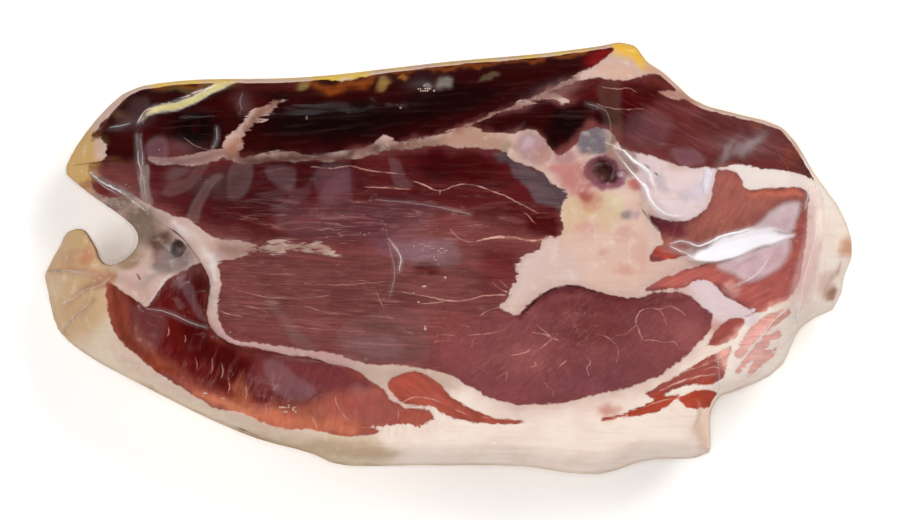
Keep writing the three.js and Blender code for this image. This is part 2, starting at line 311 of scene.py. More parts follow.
# Veins: hair-thin lines of fat in the lean. A vein is finer than the net, so the net keeps the
# signed distance to the nearest one and the material draws the line where it is 0.
VEINS = [
    [(-57, 38, .7), (-50, 37, .8), (-40, 38, .8), (-34, 36.5, 1), (-27, 35.5, .9), (-20, 35, .8)],
    [(-35, 29.5, .6), (-25, 29, 1.2), (-15, 28.5, .8)],
    [(-15, 32, .8), (-10, 30.5, 1.3), (-5, 28, 1.3), (-2, 28, 1), (3, 30, 1.1), (8, 30.4, 1),
        (15, 29, 1.2), (20, 27.2, 1), (25, 25.3, 1), (30, 22.5, 1), (35, 20, 1), (38, 18.3, 1.2)],
    [(-3, 28, 1.2), (-3.5, 25.6, .6)],
    [(31, 19, .5), (33, 18, .8), (35, 15.5, .8), (37, 14, .5)],
    [(12, 6.5, .8), (17, 8, 1.8), (22, 8.5, 2.4), (27, 8.5, 2.2), (32, 7.5, 1.8), (37, 7, 1.8),
        (42, 8, 2.4)],
    [(-25, -14, .5), (-15, -15, .7), (-5, -17, 1.1), (0, -18, 1.3), (6, -18, 1.1), (15, -16, 1),
        (25, -15.5, 1.2)],
    [(-12, -19.4, .5), (-6, -19, .9), (0, -18.2, .9)],
    [(13, -25, .5), (15, -23, .9), (20, -21, 1.2), (24, -20, 1.6)],
    [(18, -10, .5), (21, -12.6, .9), (25, -14.6, 1.3)],
    [(22, -9.6, .4), (25, -12.8, .8)],
    [(1, 12, .6), (3, 9.5, .8), (7, 7, .7), (12, 6.5, .6)],
    [(-30, -14, .5), (-28, -18, .7), (-26, -22, .5)],
    [(-85, -20, .5), (-80, -21, .8), (-75, -23, .5)],
    [(-95, -22, 1), (-90, -24, .9), (-85, -24.5, .6)],
    [(-60, -20, .4), (-50, -23, .6), (-45, -24, .4)],
    [(-90, -13, .4), (-78, -16, .5), (-62, -17, .5), (-48, -15.6, .4)],
    [(-70, -28, .3), (-52, -30, .5), (-34, -31, .4)],
    [(-60, -11, .4), (-44, -11.5, .6), (-26, -10, .4)],
    [(-25, 8, .8), (-22, 5, 1), (-20, 2, 1.2), (-19, -2, 1), (-21, -5, .6)],
    # the star in the round muscle, and the veins about it
    [(35, -31, .5), (40, -32, 1), (44, -33.5, 1.3), (47, -35, .6)],
    [(44, -33.5, 1.4), (41, -36, 1.2), (38, -38.5, .5)],
    [(44, -33.5, 1), (47.5, -31, .5)],
    [(37, -28, .4), (40, -30.5, .8), (44, -33.5, .9)],
    [(26, -41, 1.6), (30, -40, .9), (33, -39.3, 1), (35, -38, .5)],
    [(8, -32.3, .8), (14, -31.8, .8), (20, -31, .7), (24, -29.5, .6), (27, -27, .5)],
    [(12.5, -33, .7), (10.3, -35, .8), (10.3, -38, .4)],
    [(-5, -32, .6), (3, -32.5, .5)],
    [(-6, -35, .7), (1, -34.7, .5)],
    [(5, -28, .4), (10, -29, .5)],
    [(46, -46, .5), (48, -44, 1), (50, -42.7, .5)],
    [(34, -46, .4), (37, -44.5, .8), (36, -43, .4)],
    [(57, -40.5, .6), (58.5, -42, .9), (59.5, -44, 1), (58, -46, .6), (59, -49.5, 1.1)],
    [(62, -31.5, .5), (66, -33, .8), (69, -35, .8), (71, -38, .7), (71, -41, .6), (70, -44, .4)],
    [(81, -34.5, .6), (79.6, -30, 1), (78.4, -26, 1.2), (80, -22.5, 1), (84, -21, .8), (88, -21.5, .7),
        (92, -20.3, .7), (96, -21.5, .8), (99, -24, .5)],
    [(88, -21.5, .6), (90, -24, .8), (91, -28, .5)],
    [(78.6, -28, 1.1), (76, -30.5, .8), (73, -32, .6), (70, -32.5, .4)],
    [(81, -34.5, .5), (86, -34.5, .8), (90, -35.5, .7), (94, -35, .7), (97, -38.5, .4)],
    [(40, -52, .4), (42, -54, .6), (44, -55.5, .5), (44, -58, .3)],
    [(20, -50.5, .3), (24.5, -48, 1.1), (24, -53, .3)],
    # the shank's lower muscle
    [(-47, -57, .4), (-46, -61, .9), (-44, -64.5, .9), (-41, -68, .6)],
    [(-57, -65, .4), (-55.5, -68, .9), (-54, -71, .6)],
    [(-36, -70.5, .4), (-31, -71.2, .9), (-26, -72, .6)],
    [(-98, -41, .4), (-97.6, -45, .9), (-98.4, -49, .4)],
    [(-94, -43.5, .4), (-93.4, -47, 1), (-94, -50.5, .5)],
    [(-91, -49.5, .4), (-90.6, -53.5, 1.1), (-91.4, -57, .5)],
    [(-76, -60, .3), (-75.6, -64, .8), (-76.4, -67, .4)],
    [(-105, -41, .3), (-104, -45, .7), (-104.6, -48, .3)],
    # the slips at the butt
    [(0, -60.6, .5), (4, -63.6, 1), (8, -65.4, .5)],
    [(14, -66.2, .5), (20, -66.9, .9), (28, -67.6, .6)],
    [(106, -44.6, .5), (109, -43, 1.1), (112, -43.4, 1), (116, -43.5, .6)],
    [(106, -47.2, .5), (111, -45.6, 1), (116, -47.2, .6)],
    [(104, -38.4, 1), (110, -37, 2), (118, -35.6, 2.4)],
    [(88, -55.8, .8), (96, -52, 1.8), (104, -49.8, 1.6), (112, -48.6, .8)],
    [(93, -50.6, .6), (100, -47, 1.2), (107, -44.8, 1.2), (114, -41.6, .6)],
    [(80, -63, .6), (88, -60, 1.2), (94, -58.6, .6)],
    [(-20, -60.6, .6), (-15, -58.4, 1.2), (-8, -58.6, 1.2), (-2, -60.6, .6)],
    [(-116.3, -28.4, .5), (-115.8, -31, 1), (-116.6, -33.4, .5)],
    [(-83.9, -53.2, .4), (-83.6, -56.4, .9), (-84, -59.4, .4)],
    [(-109.2, -32, .4), (-109, -34, .8), (-109.4, -35.8, .4)],
    [(-21, -62.8, .4), (-20.4, -65, .8), (-21, -67.4, .4)],
    [(64, 71, .4), (70, 70, .8), (76, 70.3, .8), (79, 68.5, .4)],
    [(62, 63.8, .4), (68, 62, .8), (74, 61.5, .8), (82, 62, .4)],
    [(-110, 50, .4), (-104, 46, .5), (-98, 44.5, .6)],
]
# The drawn line is this share of the width above, since its soft edges add to it.
VEIN_SHARE = 0.44
# How far from a line its distance is kept, and how near each other two lines of a layer may come, in mm
LINE_REACH, LINE_GAP = 1.9, 4.5
LINE_STEP = 0.8
STORED_AS = {"FLOAT": "value", "FLOAT_VECTOR": "vector", "FLOAT_COLOR": "color"}
kept_names = []


def keep(mesh, name, kind, values):
    """Stores values on a mesh's vertices, for its material."""
    kept_names.append(name)
    store = mesh.attributes.new(name, kind, "POINT")
    store.data.foreach_set(STORED_AS[kind], np.asarray(values, np.float32).ravel())


def keep_lines(mesh, name, routes, px, py):
    """Stores thin lines: how far each vertex lies to the left of the nearest, and half its width.

    Lines near each other go in different layers, so that in a layer the side never changes but on a
    line. Returns how many layers there are."""
    layers = []
    for route in routes:
        line = curve_through(route, step=LINE_STEP)
        for layer in layers:
            gaps = [np.hypot(*(line[:, None, :2] - other[None, :, :2]).T).min() for other in layer]
            if min(gaps) > LINE_GAP:
                layer.append(line)
                break
        else:
            layers.append([line])
    for number, layer in enumerate(layers):
        left = np.full(len(px), FAR)
        half = np.full(len(px), -1.0)
        for line in layer:
            part = near(line, px, py, LINE_REACH)
            away, side, at = nearest_on(line, px[part], py[part])
            width = np.interp(at, np.arange(len(line)), line[:, 2] / 2)
            width = np.where((at <= 0) | (at >= len(line) - 1), width - away, width)
            closer = away < np.minimum(np.abs(left[part]), LINE_REACH)
            left[part[closer]] = (away * side)[closer]
            half[part[closer]] = width[closer]
        keep(mesh, f"{name}_left_{number}", "FLOAT", left)
        keep(mesh, f"{name}_half_{number}", "FLOAT", half)
    return len(layers)


vein_lines = [[(vx, vy, VEIN_SHARE * width) for vx, vy, width in route] for route in VEINS]
vein_layers = keep_lines(ham.data, "vein", vein_lines, x, y)

# Dark lines: painted shade in cracks and creases, in the crevice by the hip bone and under edges of
# fat that stand over what is beside them; the rind seen edge on along the lower edge; and a few dark
# specks on the lobe.
SHADE_AND_MARK_LINES = [
    [(-116, 12.4, .5), (-114.6, 11.5, .9), (-109.3, 6.8, 1), (-104.6, -0.2, 1), (-100.4, -7.9, 1.1),
        (-99, -13.2, .9), (-99.9, -19, .5)],
    [(-98.4, -30, .5), (-93, -35, .9), (-88, -39, .6)],
    [(-157, 38.4, .3), (-150, 39.4, .6), (-142, 40.2, .5), (-131, 41.2, .3)],
    [(-86, 38.4, .4), (-74, 38.9, .9), (-60, 39.3, .9), (-46, 39, .9), (-40, 39.8, .4)],
    [(31, -24, .5), (35, -19.6, .9), (41, -14.6, .9), (48, -11.9, .8), (56, -12.6, .9), (64, -15, .6)],
    [(-109, 17, .4), (-106, 24, .8), (-101.6, 31, .8), (-97, 35.6, .5)],
    [(-161.7, -31, .3), (-156.4, -25.6, .5), (-151, -21.4, .4)],
    [(-170, -6, .3), (-163, -5.6, .5), (-157, -6, .3)],
    [(80.4, 20.6, .4), (83, 17, .9), (86, 13.4, .9), (88, 10.4, .4)],
    [(-140, -47, .5), (-127, -54.6, 1.2), (-113, -61.9, 1.8), (-100.8, -66.8, 2.2), (-85.2, -72.9, 2.6),
        (-73.1, -77.7, 2.8), (-60, -81.4, 2.8), (-51, -86, 1.8)],
    [(-47, -87.2, 1), (-36, -87.8, 1.2), (-26, -88, 1.4), (-14, -88, 1)],
    [(82, 38.4, .8), (84, 37, 1.2)],
    [(86, 35.4, .7), (87.6, 33.8, .9)],
    [(-129.4, -6.8, .6), (-128, -9.4, 1)],
]
shade_and_mark_layers = keep_lines(ham.data, "shade_and_mark_line", SHADE_AND_MARK_LINES, x, y)

# Relief of the cut face. Lean sinks a little between its seams as it dries, fat stays proud, the
# shank side steps down along a sharp edge of fat, and the bone's bed is a hole in the gristle.
STEP_LINE = [
    (-129, 23), (-122, 17), (-118, 14), (-113, 10.5), (-109, 7), (-106, 3), (-103, -1), (-100.5, -6),
    (-99.2, -10), (-99, -15), (-99.6, -20), (-100, -25), (-98, -29), (-95, -32), (-90, -36), (-84, -39),
]
STEP_DROP, STEP_EDGE, STEP_REACH = 2.6, 1.6, 9
STEP_ENDS = 0.02
# How far lean sinks and fat stands, and how far from their border that is reached
LEAN_SINKS, LEAN_SLOPE = 1.0, 2.5
FAT_STANDS, FAT_SLOPE = 0.5, 1.5
GROOVES = [
    # depth, then the route with its width
    (1.8, [(80, 20.5, 2), (83, 17, 2.4), (86, 15.2, 2.6), (90, 13.8, 2.6), (95, 13.4, 1.6)]),
    (0.9, [(56, 28.4, 1), (58, 32, 2), (57, 38, 2), (61, 42.6, 2), (66, 43.4, 1)]),
    (0.9, [(52, 24, 2), (49, 20.5, 3), (48.6, 15, 3), (46.5, 8.4, 2)]),
    (0.8, [(23, -20.4, 1.4), (26, -15, 2), (28.6, -8, 2), (30, -1, 2), (38, 4.6, 2), (41, 9, 1.4)]),
    (0.7, [(29, -24.4, 1), (35, -18.4, 2), (44, -12.8, 2), (56, -12.6, 2), (69, -16, 2), (82, -16.4, 2),
        (96, -14.8, 2)]),
    (0.8, [(74, 44, 1.4), (84, 42.2, 2), (93, 39, 2), (103, 37, 2), (114, 37, 1.4)]),
    (0.7, [(80, -13.6, 1), (86, -10.8, 2), (94, -6.6, 2), (104, -3.4, 1.6), (112, -1, 1)]),
    (0.8, [(-10, -56, 4), (-16, -53, 6), (-21, -51, 3)]),
]
HOLLOWS = [
    # middle, radii, turn, depth
    (65, 36, 4.2, 3.6, 20, 2.8), (-112, 4, 2.2, 2.2, 0, 2.2), (-118, -2, 9, 9, 0, 1.4),
    (36, 56, 12, 4, 15, 1.2), (-8, -5, 6, 3.4, 0, 0.6), (-45, 57, 26, 6, 2, 1.2),
    (10, 66, 20, 6, 14, 1), (-107, 55, 9, 6, 0, 1.2), (-144, 40, 10, 3, 0, 1), (50, 57, 9, 5, 60, 1),
    (84, 74, 5, 3, 0, 1),
]


def along(route, px, py, reach=8):
    """A soft stripe: 1 on the route, falling away over the width that each point gives."""
    line = curve_through(route)
    stripe = np.zeros(len(px))
    part = near(line, px, py, reach)
    away, _, at = nearest_on(line, px[part], py[part])
    stripe[part] = np.exp(-(away / np.interp(at, np.arange(len(line)), line[:, 2])) ** 2)
    return stripe


line = curve_through(STEP_LINE)
part = near(line, x, y, 2 * STEP_REACH)
away, side, at = nearest_on(line, x[part], y[part])
fade = np.sqrt(np.sin(np.pi * np.clip(at / (len(line) - 1), STEP_ENDS, 1 - STEP_ENDS)))
below_step = np.clip(away / STEP_EDGE, 0, 1) * np.exp(-(away / STEP_REACH) ** 2) * fade
depth = np.zeros(len(x))
depth[part] = STEP_DROP * np.where(side < 0, below_step, 0)
depth += np.where(fat < 0, LEAN_SINKS * (1 - np.exp(fat / LEAN_SLOPE)),
                  -FAT_STANDS * (1 - np.exp(-fat / FAT_SLOPE)))
for deep, route in GROOVES:
    depth += deep * along(route, x, y)
for cx, cy, rx, ry, turn, deep in HOLLOWS:
    depth += deep * blob(x, y, cx, cy, rx, ry, turn)
depth *= facing_up
ham_places = ham_places - (MM * depth)[:, None] * ham_normals
write_vertices(ham.data, ham_places)

# Colours, as (red, green, blue) of 0 to 255, laid over each other: outlined areas first, then
# stripes along routes, then soft round patches. The lean is nearly black at the top of the ham,
# and brown-red to brick in the middle and below.
LEAN_BASE = (118, 60, 58)
LEAN_AREAS = [
    # colour, softness of its edge in mm, outline
    ((44, 1, 1), 2.5, [(-154, 37), (-150, 55), (-133, 72), (-108, 76), (-60, 78), (0, 84), (58, 90),
        (72, 88), (60, 79), (42, 69.5), (20, 59.5), (5, 53.5), (-10, 50), (-30, 46), (-60, 42.5),
        (-92, 42), (-123, 43), (-140, 40)]),
    ((82, 22, 25), 5, [(-126, 40), (-90, 41), (-30, 44), (0, 47), (22, 44), (40, 33), (48, 20),
        (36, 12), (20, 16), (-5, 18), (-20, 12), (-30, 6), (-60, 8), (-85, 9), (-100, 14), (-112, 18),
        (-125, 28)]),
    ((98, 40, 40), 4, [(60, 76), (75, 74), (92, 76), (104, 64), (126, 58), (142, 54), (156, 32),
        (140, 35), (110, 37), (92, 39), (74, 45), (66, 56), (60, 64)]),
    ((126, 66, 68), 4, [(26, -26), (40, -15), (56, -12), (76, -16), (98, -14), (113, -24), (108, -36),
        (96, -46), (70, -56), (40, -62), (18, -60), (0, -50), (-5, -36), (10, -26)]),
    ((112, 60, 58), 5, [(-96, 0), (-60, 1), (-20, 0), (20, 2), (30, -6), (22, -20), (0, -26), (-6, -40),
        (-30, -42), (-70, -35), (-92, -28)]),
    ((160, 84, 68), 2.5, [(-143, -8), (-142, -26), (-132, -39), (-112, -53), (-103, -60), (-84, -66),
        (-66, -73), (-30, -75), (0, -70), (-8, -62), (-24, -56), (-30, -50), (-50, -42), (-86, -36),
        (-99, -26), (-100, -8), (-118, -7), (-130, -9)]),
    ((90, 14, 12), 5, [(-134, -9), (-118, -8), (-104, -4), (-99, -14), (-99, -26), (-90, -36),
        (-60, -41), (-46, -45), (-56, -58), (-70, -62), (-88, -60), (-104, -52), (-118, -42),
        (-130, -30)]),
    ((112, 50, 52), 4, [(-82, -40), (-62, -41), (-42, -46), (-32, -52), (-42, -56), (-58, -57),
        (-70, -57), (-80, -50)]),
    ((166, 80, 66), 2, [(-26, -52), (-15, -47), (-5, -50), (3, -58), (33, -68), (20, -71), (4, -68),
        (-14, -62), (-22, -60)]),
    ((154, 88, 78), 3, [(86, 3), (91, 14), (104, 17), (112, 37), (122, 35), (128, 28), (149, 28),
        (150, 12), (136, 8), (112, 3), (98, 1)]),
    ((174, 92, 84), 2, [(80, -13), (90, -7), (104, -3), (120, 2), (150, 14), (148, -8), (142, -22),
        (128, -23), (112, -11), (98, -12)]),
    ((156, 78, 70), 2, [(104, -38), (112, -28), (121, -22), (126, -26), (118, -37), (118, -46),
        (114, -52), (98, -53), (82, -59), (80, -55), (96, -48)]),
    ((176, 70, 50), 2, [(60, -69), (90, -57), (112, -54), (114, -62), (100, -64), (74, -68)]),
    ((46, 0, 2), 2, [(12, 55), (18, 57.4), (25, 59.6), (32, 63), (40, 66), (48, 63), (56, 67), (64, 70),
        (72, 69), (72, 60), (68, 54), (60, 56), (54, 52), (50, 46.6), (45, 44), (42, 48), (38, 54),
        (30, 54.4), (20, 53)]),
    ((74, 8, 10), 3, [(50, 70), (60, 75), (75, 73), (90, 72), (84, 62), (74, 56), (66, 62)]),
    # the grey wedge by the gristle is painted: the film's grey over a hollow, with the shade in it
    ((90, 70, 74), .8, [(18, 45.5), (25, 43), (32, 39), (40, 36), (47, 29.5), (51, 26), (49.5, 23),
        (47, 19.5), (42, 22), (36, 25), (31, 31), (26, 37), (21, 41.5)]),
    # the lean streaks at the butt's end, painted pale for the glare of the light on that end
    ((226, 164, 152), 2, [(112, -40), (128, -24), (146, -16), (146, -60), (114, -60), (118, -48)]),
]
LEAN_STRIPES = [
    # colour, strength, route with the stripe's width
    # the first four are painted shade: under the main seam, on the round muscle's top edge, in the
    # crevice
    ((52, 0, 4), .8, [(-86, 38, 1), (-70, 38.4, 1.2), (-50, 38.4, 1.2), (-40, 39.6, 1)]),
    ((88, 34, 48), .7, [(30, -24.6, 1.2), (36, -19.4, 1.6), (44, -14, 1.8), (54, -12.6, 2),
        (64, -15.4, 1.6), (74, -17.4, 1)]),
    ((52, 8, 14), .95, [(80.6, 20, 1), (83, 17, 1.6), (86, 13.5, 2), (88, 10, 1.6)]),
    ((96, 44, 58), .8, [(88, 14, 2), (93, 13, 2.4), (98, 15, 1.4)]),
    ((132, 62, 12), .85, [(-122, 71.6, .8), (-100, 72.4, .8), (-85, 72.8, .8), (-62, 74, 1.4),
        (-54, 71.6, 1.6), (-45, 71, 1.6), (-37, 73.4, 1.5), (-25, 77, 1.2), (-10, 78, .9),
        (20, 81.4, .8), (45, 83.8, .8), (57, 86, .8)]),
    ((196, 112, 84), .8, [(-106, -57, 1.5), (-95, -61.4, 2.6), (-80, -65.4, 3.4), (-66, -69, 4),
        (-40, -71, 3)]),
    ((198, 126, 90), .5, [(-98, -61, 1), (-88, -62.5, 1.4), (-80, -65.6, 1.2)]),
    ((116, 44, 26), .85, [(-139, -12, 3), (-138, -24, 3.4), (-132, -35, 3.4), (-122, -44, 3),
        (-112, -50, 2.6)]),
    ((96, 14, 14), .5, [(-130, -14, 2), (-126, -28, 3), (-114, -40, 3), (-102, -48, 3)]),
    ((100, 52, 22), .7, [(-158, 38, 1.2), (-146, 39.6, 1.4), (-134, 40, 1)]),
    ((110, 56, 24), .6, [(-148, 50, 1.6), (-141, 60, 1.6), (-134, 67.4, 1.4)]),
    ((196, 108, 84), .8, [(126, 26.6, 1.6), (136, 27.2, 1.8), (147, 27.4, 1.4)]),
    # painted shade along the round muscle's top edge
    ((84, 30, 26), .5, [(30, -25, 1.4), (40, -17, 1.6), (52, -13.6, 1.8), (66, -17, 1.8),
        (84, -17.6, 1.6), (100, -16.6, 1.4)]),
    ((150, 40, 26), .5, [(88, 75, 1), (96, 70, 1), (104, 63, 1)]),
    ((84, 10, 20), .5, [(-90, -37.6, 1.4), (-70, -40.4, 1.4), (-52, -43.6, 1.4)]),
]
LEAN_PATCHES = [
    # colour, strength, middle, radii, turn
    ((6, 0, 0), .95, -104.6, 54.6, 9, 7.6, 0), ((34, 0, 0), .9, -105, 54.6, 2.6, 2.6, 0),
    ((104, 22, 14), .8, -143, 30, 4, 3, -30), ((150, 134, 86), .8, -144.6, 48.4, 2, 1.6, 20),
    ((112, 72, 50), .6, -136, 60, 3.4, 2, -40), ((12, 0, 0), .95, -48, 56.5, 34, 8.5, 2),
    ((12, 0, 0), .8, 0, 65, 26, 7, 14), ((62, 1, 2), .6, -132, 50, 12, 10, 0),
    ((80, 14, 12), .6, -84, 66, 9, 6, 0), ((88, 20, 12), .5, -70, 71, 12, 2, 2),
    ((96, 16, 22), .6, -118, 46, 10, 3, 0), ((160, 136, 66), .8, -147, 46, 5, 3.6, 30),
    ((176, 128, 70), .7, -149, 38, 4, 5, 0), ((110, 86, 40), .5, -104, 71, 16, 1.4, 2),
    ((136, 110, 60), .8, -60.6, 71.6, 2.4, 2.4, 30), ((146, 108, 60), .9, -26.6, 71.4, 2.4, 3, -40),
    ((150, 92, 34), .8, -18.6, 74.6, 2.6, 1.2, 0), ((140, 132, 120), .7, -8, 72, 2, 1.6, 20),
    ((150, 140, 130), .7, -1, 73, 3, 3, 60), ((104, 86, 64), .6, 18, 76, 3, 1.4, 10),
    ((124, 2, 2), .8, 64, 83, 7, 4, 0), ((48, 0, 0), .9, 27, 56, 14, 4, 8),
    ((12, 0, 0), .9, 50, 56, 8, 7, 60), ((16, 0, 0), .8, 43, 48, 3, 5, 0),
    ((88, 32, 18), .6, 91, 73, 7, 4, -20), ((68, 2, 3), .7, 76, 58, 6, 7, 0),
    ((112, 60, 60), .5, 122, 46, 14, 5, -6), ((130, 62, 46), .5, 145, 44, 5, 7, -40),
    ((136, 76, 56), .6, 128, 56, 4, 3, 0), ((58, 0, 2), .9, 4, 38, 22, 6, -6),
    ((56, 1, 4), .85, -86, 27, 27, 10, 0), ((58, 2, 6), .7, -50, 33, 20, 6, 0),
    ((64, 1, 2), .9, 40, 14, 7, 5, -20), ((96, 24, 28), .7, 22, -4, 9, 9, 0),
    # violet-grey patches at -46, 31, at -24, 5 and at -10, 3 are painted reflections in the film
    ((104, 46, 58), .5, -46, 31, 8, 5, 8), ((112, 70, 84), .45, -24, 5, 7, 5, 0),
    ((132, 96, 104), .5, -10, 3, 11, 4.4, 0), ((78, 8, 12), .9, -8, -5, 6, 3.2, 0),
    ((104, 48, 50), .5, -64, 14, 12, 3, 0), ((134, 88, 90), .7, -30, -37, 14, 5, -8),
    ((134, 70, 66), .6, 0, -28, 14, 8, 0), ((104, 44, 46), .5, 20, -14, 10, 5, 0),
    # dark patches at -104, -33 and -108, -14 are painted shade at the foot of the step
    ((70, 1, 2), .9, -104, -33, 5, 9, 30), ((72, 2, 4), .85, -90, -45, 12, 4, -30),
    ((70, 4, 8), .6, -108, -14, 7, 6, 0), ((104, 46, 46), .7, 62, -30, 14, 7, 0),
    ((96, 36, 38), .6, 62, -20, 24, 3.4, 0), ((150, 84, 82), .6, 101, -32, 6, 8, 30),
    ((124, 68, 76), .6, 60, -52, 20, 5, 4), ((132, 66, 66), .6, 4, -40, 10, 7, 0),
    ((150, 88, 84), .5, 32, -42, 10, 8, 0), ((92, 24, 40), .7, 92, 11, 6, 3.6, 0),
    ((176, 66, 50), .9, 91, 1.5, 6, 2.4, -10), ((178, 78, 62), .7, -17, -53, 3, 2, 0),
    ((186, 104, 70), .4, -86, -55, 3, 6, 0), ((146, 62, 54), .7, -28, -62, 16, 7, -4),
    ((206, 160, 150), .5, 118, -12, 4, 3, 0),
]
# Fat is greyish pink in the seams, white about the hip joint, yellow where it met the air at the
# top, peach on the shank's flap, and cream at the thick lower edge.
FAT_BASE = (212, 180, 168)
FAT_AREAS_COLOUR = [
    ((244, 226, 212), 6, [(-30, -71), (-8, -61), (8, -55), (24, -64), (60, -60), (84, -54), (98, -46),
        (112, -30), (124, -20), (150, -20), (150, -100), (-30, -100)]),
    ((226, 206, 182), 8, [(-176, -20), (-143, -16), (-136, -38), (-104, -60), (-66, -72), (-30, -76),
        (-30, -100), (-90, -96), (-172, -54)]),
    ((208, 174, 134), 5, [(-175, 16), (-148, 16), (-142, -4), (-140, -20), (-158, -36), (-178, -20)]),
    ((198, 172, 142), 3, [(-88, -72), (-66, -76), (-34, -76), (-20, -81), (-34, -85), (-52, -84),
        (-72, -79)]),
    ((232, 196, 70), 2, [(-126, 73.6), (-100, 73), (-60, 74.6), (-50, 72.6), (-44, 73), (-24, 78.4),
        (20, 82.2), (60, 87), (80, 92), (40, 96), (-20, 90), (-130, 84)]),
    ((238, 186, 54), 2.4, [(70, 92), (84, 92), (90, 80), (82, 79), (75, 83), (69, 84)]),
    ((214, 172, 108), 3, [(-168, 30), (-148, 28), (-148, 52), (-168, 52)]),
    ((228, 206, 206), 3, [(72, 44), (84, 42), (100, 37), (112, 37), (110, 26), (104, 17), (94, 15),
        (86, 20), (80, 28), (74, 36)]),
    ((220, 186, 170), 5, [(46, 26), (80, 26), (84, 8), (80, -12), (60, -12), (50, -6), (46, 8)]),
    ((216, 188, 180), 4, [(24, -20), (34, -16), (46, -12), (56, -10), (54, -2), (46, 2), (40, 8),
        (30, 0), (26, -12)]),
    ((234, 220, 213), 3, [(112, 38), (156, 38), (158, 26), (124, 27), (118, 34)]),
    ((194, 130, 124), 2, [(42, 38), (50, 39.5), (60, 37), (61, 33), (60, 28), (55, 24), (50, 28),
        (46, 31)]),
    ((212, 178, 146), 1.6, [(47.2, 15.4), (48, 22.2), (52.3, 24.4), (56.2, 22.8), (57.9, 18.3),
        (56.8, 12), (51.7, 9.8), (47.8, 9.8)]),
    ((216, 196, 164), 1.6, [(60.2, 20.5), (63.5, 25), (68, 26.7), (72.5, 25.6), (73.1, 21.1),
        (70.3, 16.6), (65.8, 14.3), (61.3, 15.4)]),
    ((118, 108, 114), 1.4, [(54, 51.5), (55.7, 53.7), (60.2, 55.4), (65.2, 53.7), (66.3, 49.2),
        (67.5, 43.6), (63.5, 43.6), (59, 43.6), (54.5, 42.5), (53.4, 47)]),
    ((168, 132, 118), 1, [(66, 43), (70, 45), (77, 42), (78, 36), (74, 33), (70, 37)]),
    ((222, 200, 203), 2.4, [(100, -10), (106, -8), (114, -12), (128, -20), (128, -26), (112, -26),
        (106, -20)]),
    # the end of the butt: pale fat, painted nearly white for the glare of the light on it
    ((248, 232, 220), 4, [(152, 38), (178, 30), (178, -30), (152, -60), (116, -66), (116, -44),
        (128, -26), (146, -16), (153, 0)]),
]
FAT_STRIPES = [
    ((126, 90, 86), .95, [(-126, 41, 4), (-110, 40.4, 4), (-96, 42.6, 4), (-90, 42.6, 4)]),
    ((84, 50, 44), .97, [(-86, 41, 4), (-60, 42, 4), (-46, 42, 4), (-30, 45, 4), (-16, 47, 3.4)]),
    ((134, 98, 86), .9, [(-14, 47.4, 3.4), (-8, 48, 4), (-2, 49, 3)]),
    ((174, 132, 112), .9, [(0, 49, 3.4), (10, 50, 6), (22, 47.6, 6), (27, 47, 3)]),
    ((128, 78, 70), .9, [(4, 53, 2), (14, 57.4, 2), (26, 62, 2), (38, 66.4, 2.6), (52, 73.6, 3)]),
    ((192, 150, 148), .95, [(-96, -30, 3), (-87, -35.4, 3), (-65, -39, 4), (-45, -43, 4.4),
        (-36, -45.6, 4)]),
    ((200, 174, 158), .95, [(-36, -45.6, 4), (-28, -49, 6), (-14, -46.6, 4), (-4, -49.6, 4),
        (0, -52.4, 4.4)]),
    ((146, 110, 98), .9, [(-96, 4, 6), (-88, 3.4, 7), (-80, 4, 4), (-62, 5, 4), (-50, 3, 3)]),
    ((190, 164, 160), .8, [(-118, 17, 3), (-108, 11.4, 4), (-100.6, 3, 4.4), (-98, -8, 4),
        (-97.4, -20, 3.4)]),
    # a stripe of white fat along the step's band, with a painted highlight on it
    ((226, 212, 206), .9, [(-114, 14.6, 1.6), (-107, 9.6, 2), (-101, 1.6, 2.2), (-98.4, -4, 1.6),
        (-97, -10, 1.4)]),
    ((200, 170, 152), .7, [(-105, 7, 3), (-99, 5, 3)]),
    ((172, 136, 120), .7, [(-72, 4.4, 2), (-62, 5, 2)]),
    ((168, 130, 114), .7, [(-54, 4.2, 2), (-47, 1.4, 1)]),
    ((160, 104, 78), .85, [(-90, 44.6, 3), (-88, 48.6, 3.4), (-86.6, 52, 2)]),
    ((126, 84, 70), .95, [(-85, 53, 3), (-79, 59.4, 4), (-68, 66, 3)]),
    ((166, 152, 148), .8, [(-127, -13, 2.2), (-121, -5, 2.8), (-115, 0.6, 2.6), (-109, -1.4, 1.8)]),
    ((106, 74, 50), .8, [(-122.6, 6, 1.2), (-121.2, 1, 1.4), (-121.6, -3, 1.2)]),
    ((190, 156, 144), .8, [(-136, -9.6, 2), (-131, -12.6, 2.6), (-126, -16, 2.6)]),
    ((166, 112, 92), .8, [(88, 68.4, 3), (101, 66.6, 3)]),
    ((206, 152, 132), .6, [(84, 79, 2), (93, 75, 2)]),
    ((146, 112, 88), .8, [(-128, -54.4, 1), (-110, -64.4, 1.2), (-92, -72, 1.6), (-78, -77.4, 1.6)]),
    ((160, 128, 96), .5, [(-60, -82.6, 1.4), (-48, -87, 1.4), (-20, -87.6, 1), (20, -88, .8)]),
    ((156, 100, 78), .6, [(163.4, -3, .8), (161.5, -8, 1), (157, -15, .8)]),
    ((150, 92, 70), .6, [(158.6, -13.4, .8), (163, -14.4, 1.2), (162, -17, 1)]),
    ((178, 124, 88), .7, [(-170, -5.4, 1), (-161, -5.4, 1.4), (-150, -7, 1.6), (-143, -8.6, 1.6)]),
    ((170, 116, 80), .85, [(-139.5, -8.6, 1.6), (-147, -11.4, 2.2), (-153.6, -15.6, 1.8),
        (-159, -19, 1)]),
    ((176, 136, 100), .8, [(-147, -17.6, 1.2), (-151, -21.4, 1.3), (-156.4, -25.8, 1.2),
        (-162, -31.6, 1)]),
    ((196, 150, 112), .6, [(105, -61, 1), (103.4, -68, 1), (106, -76, 1.2), (109, -79, 1)]),
]
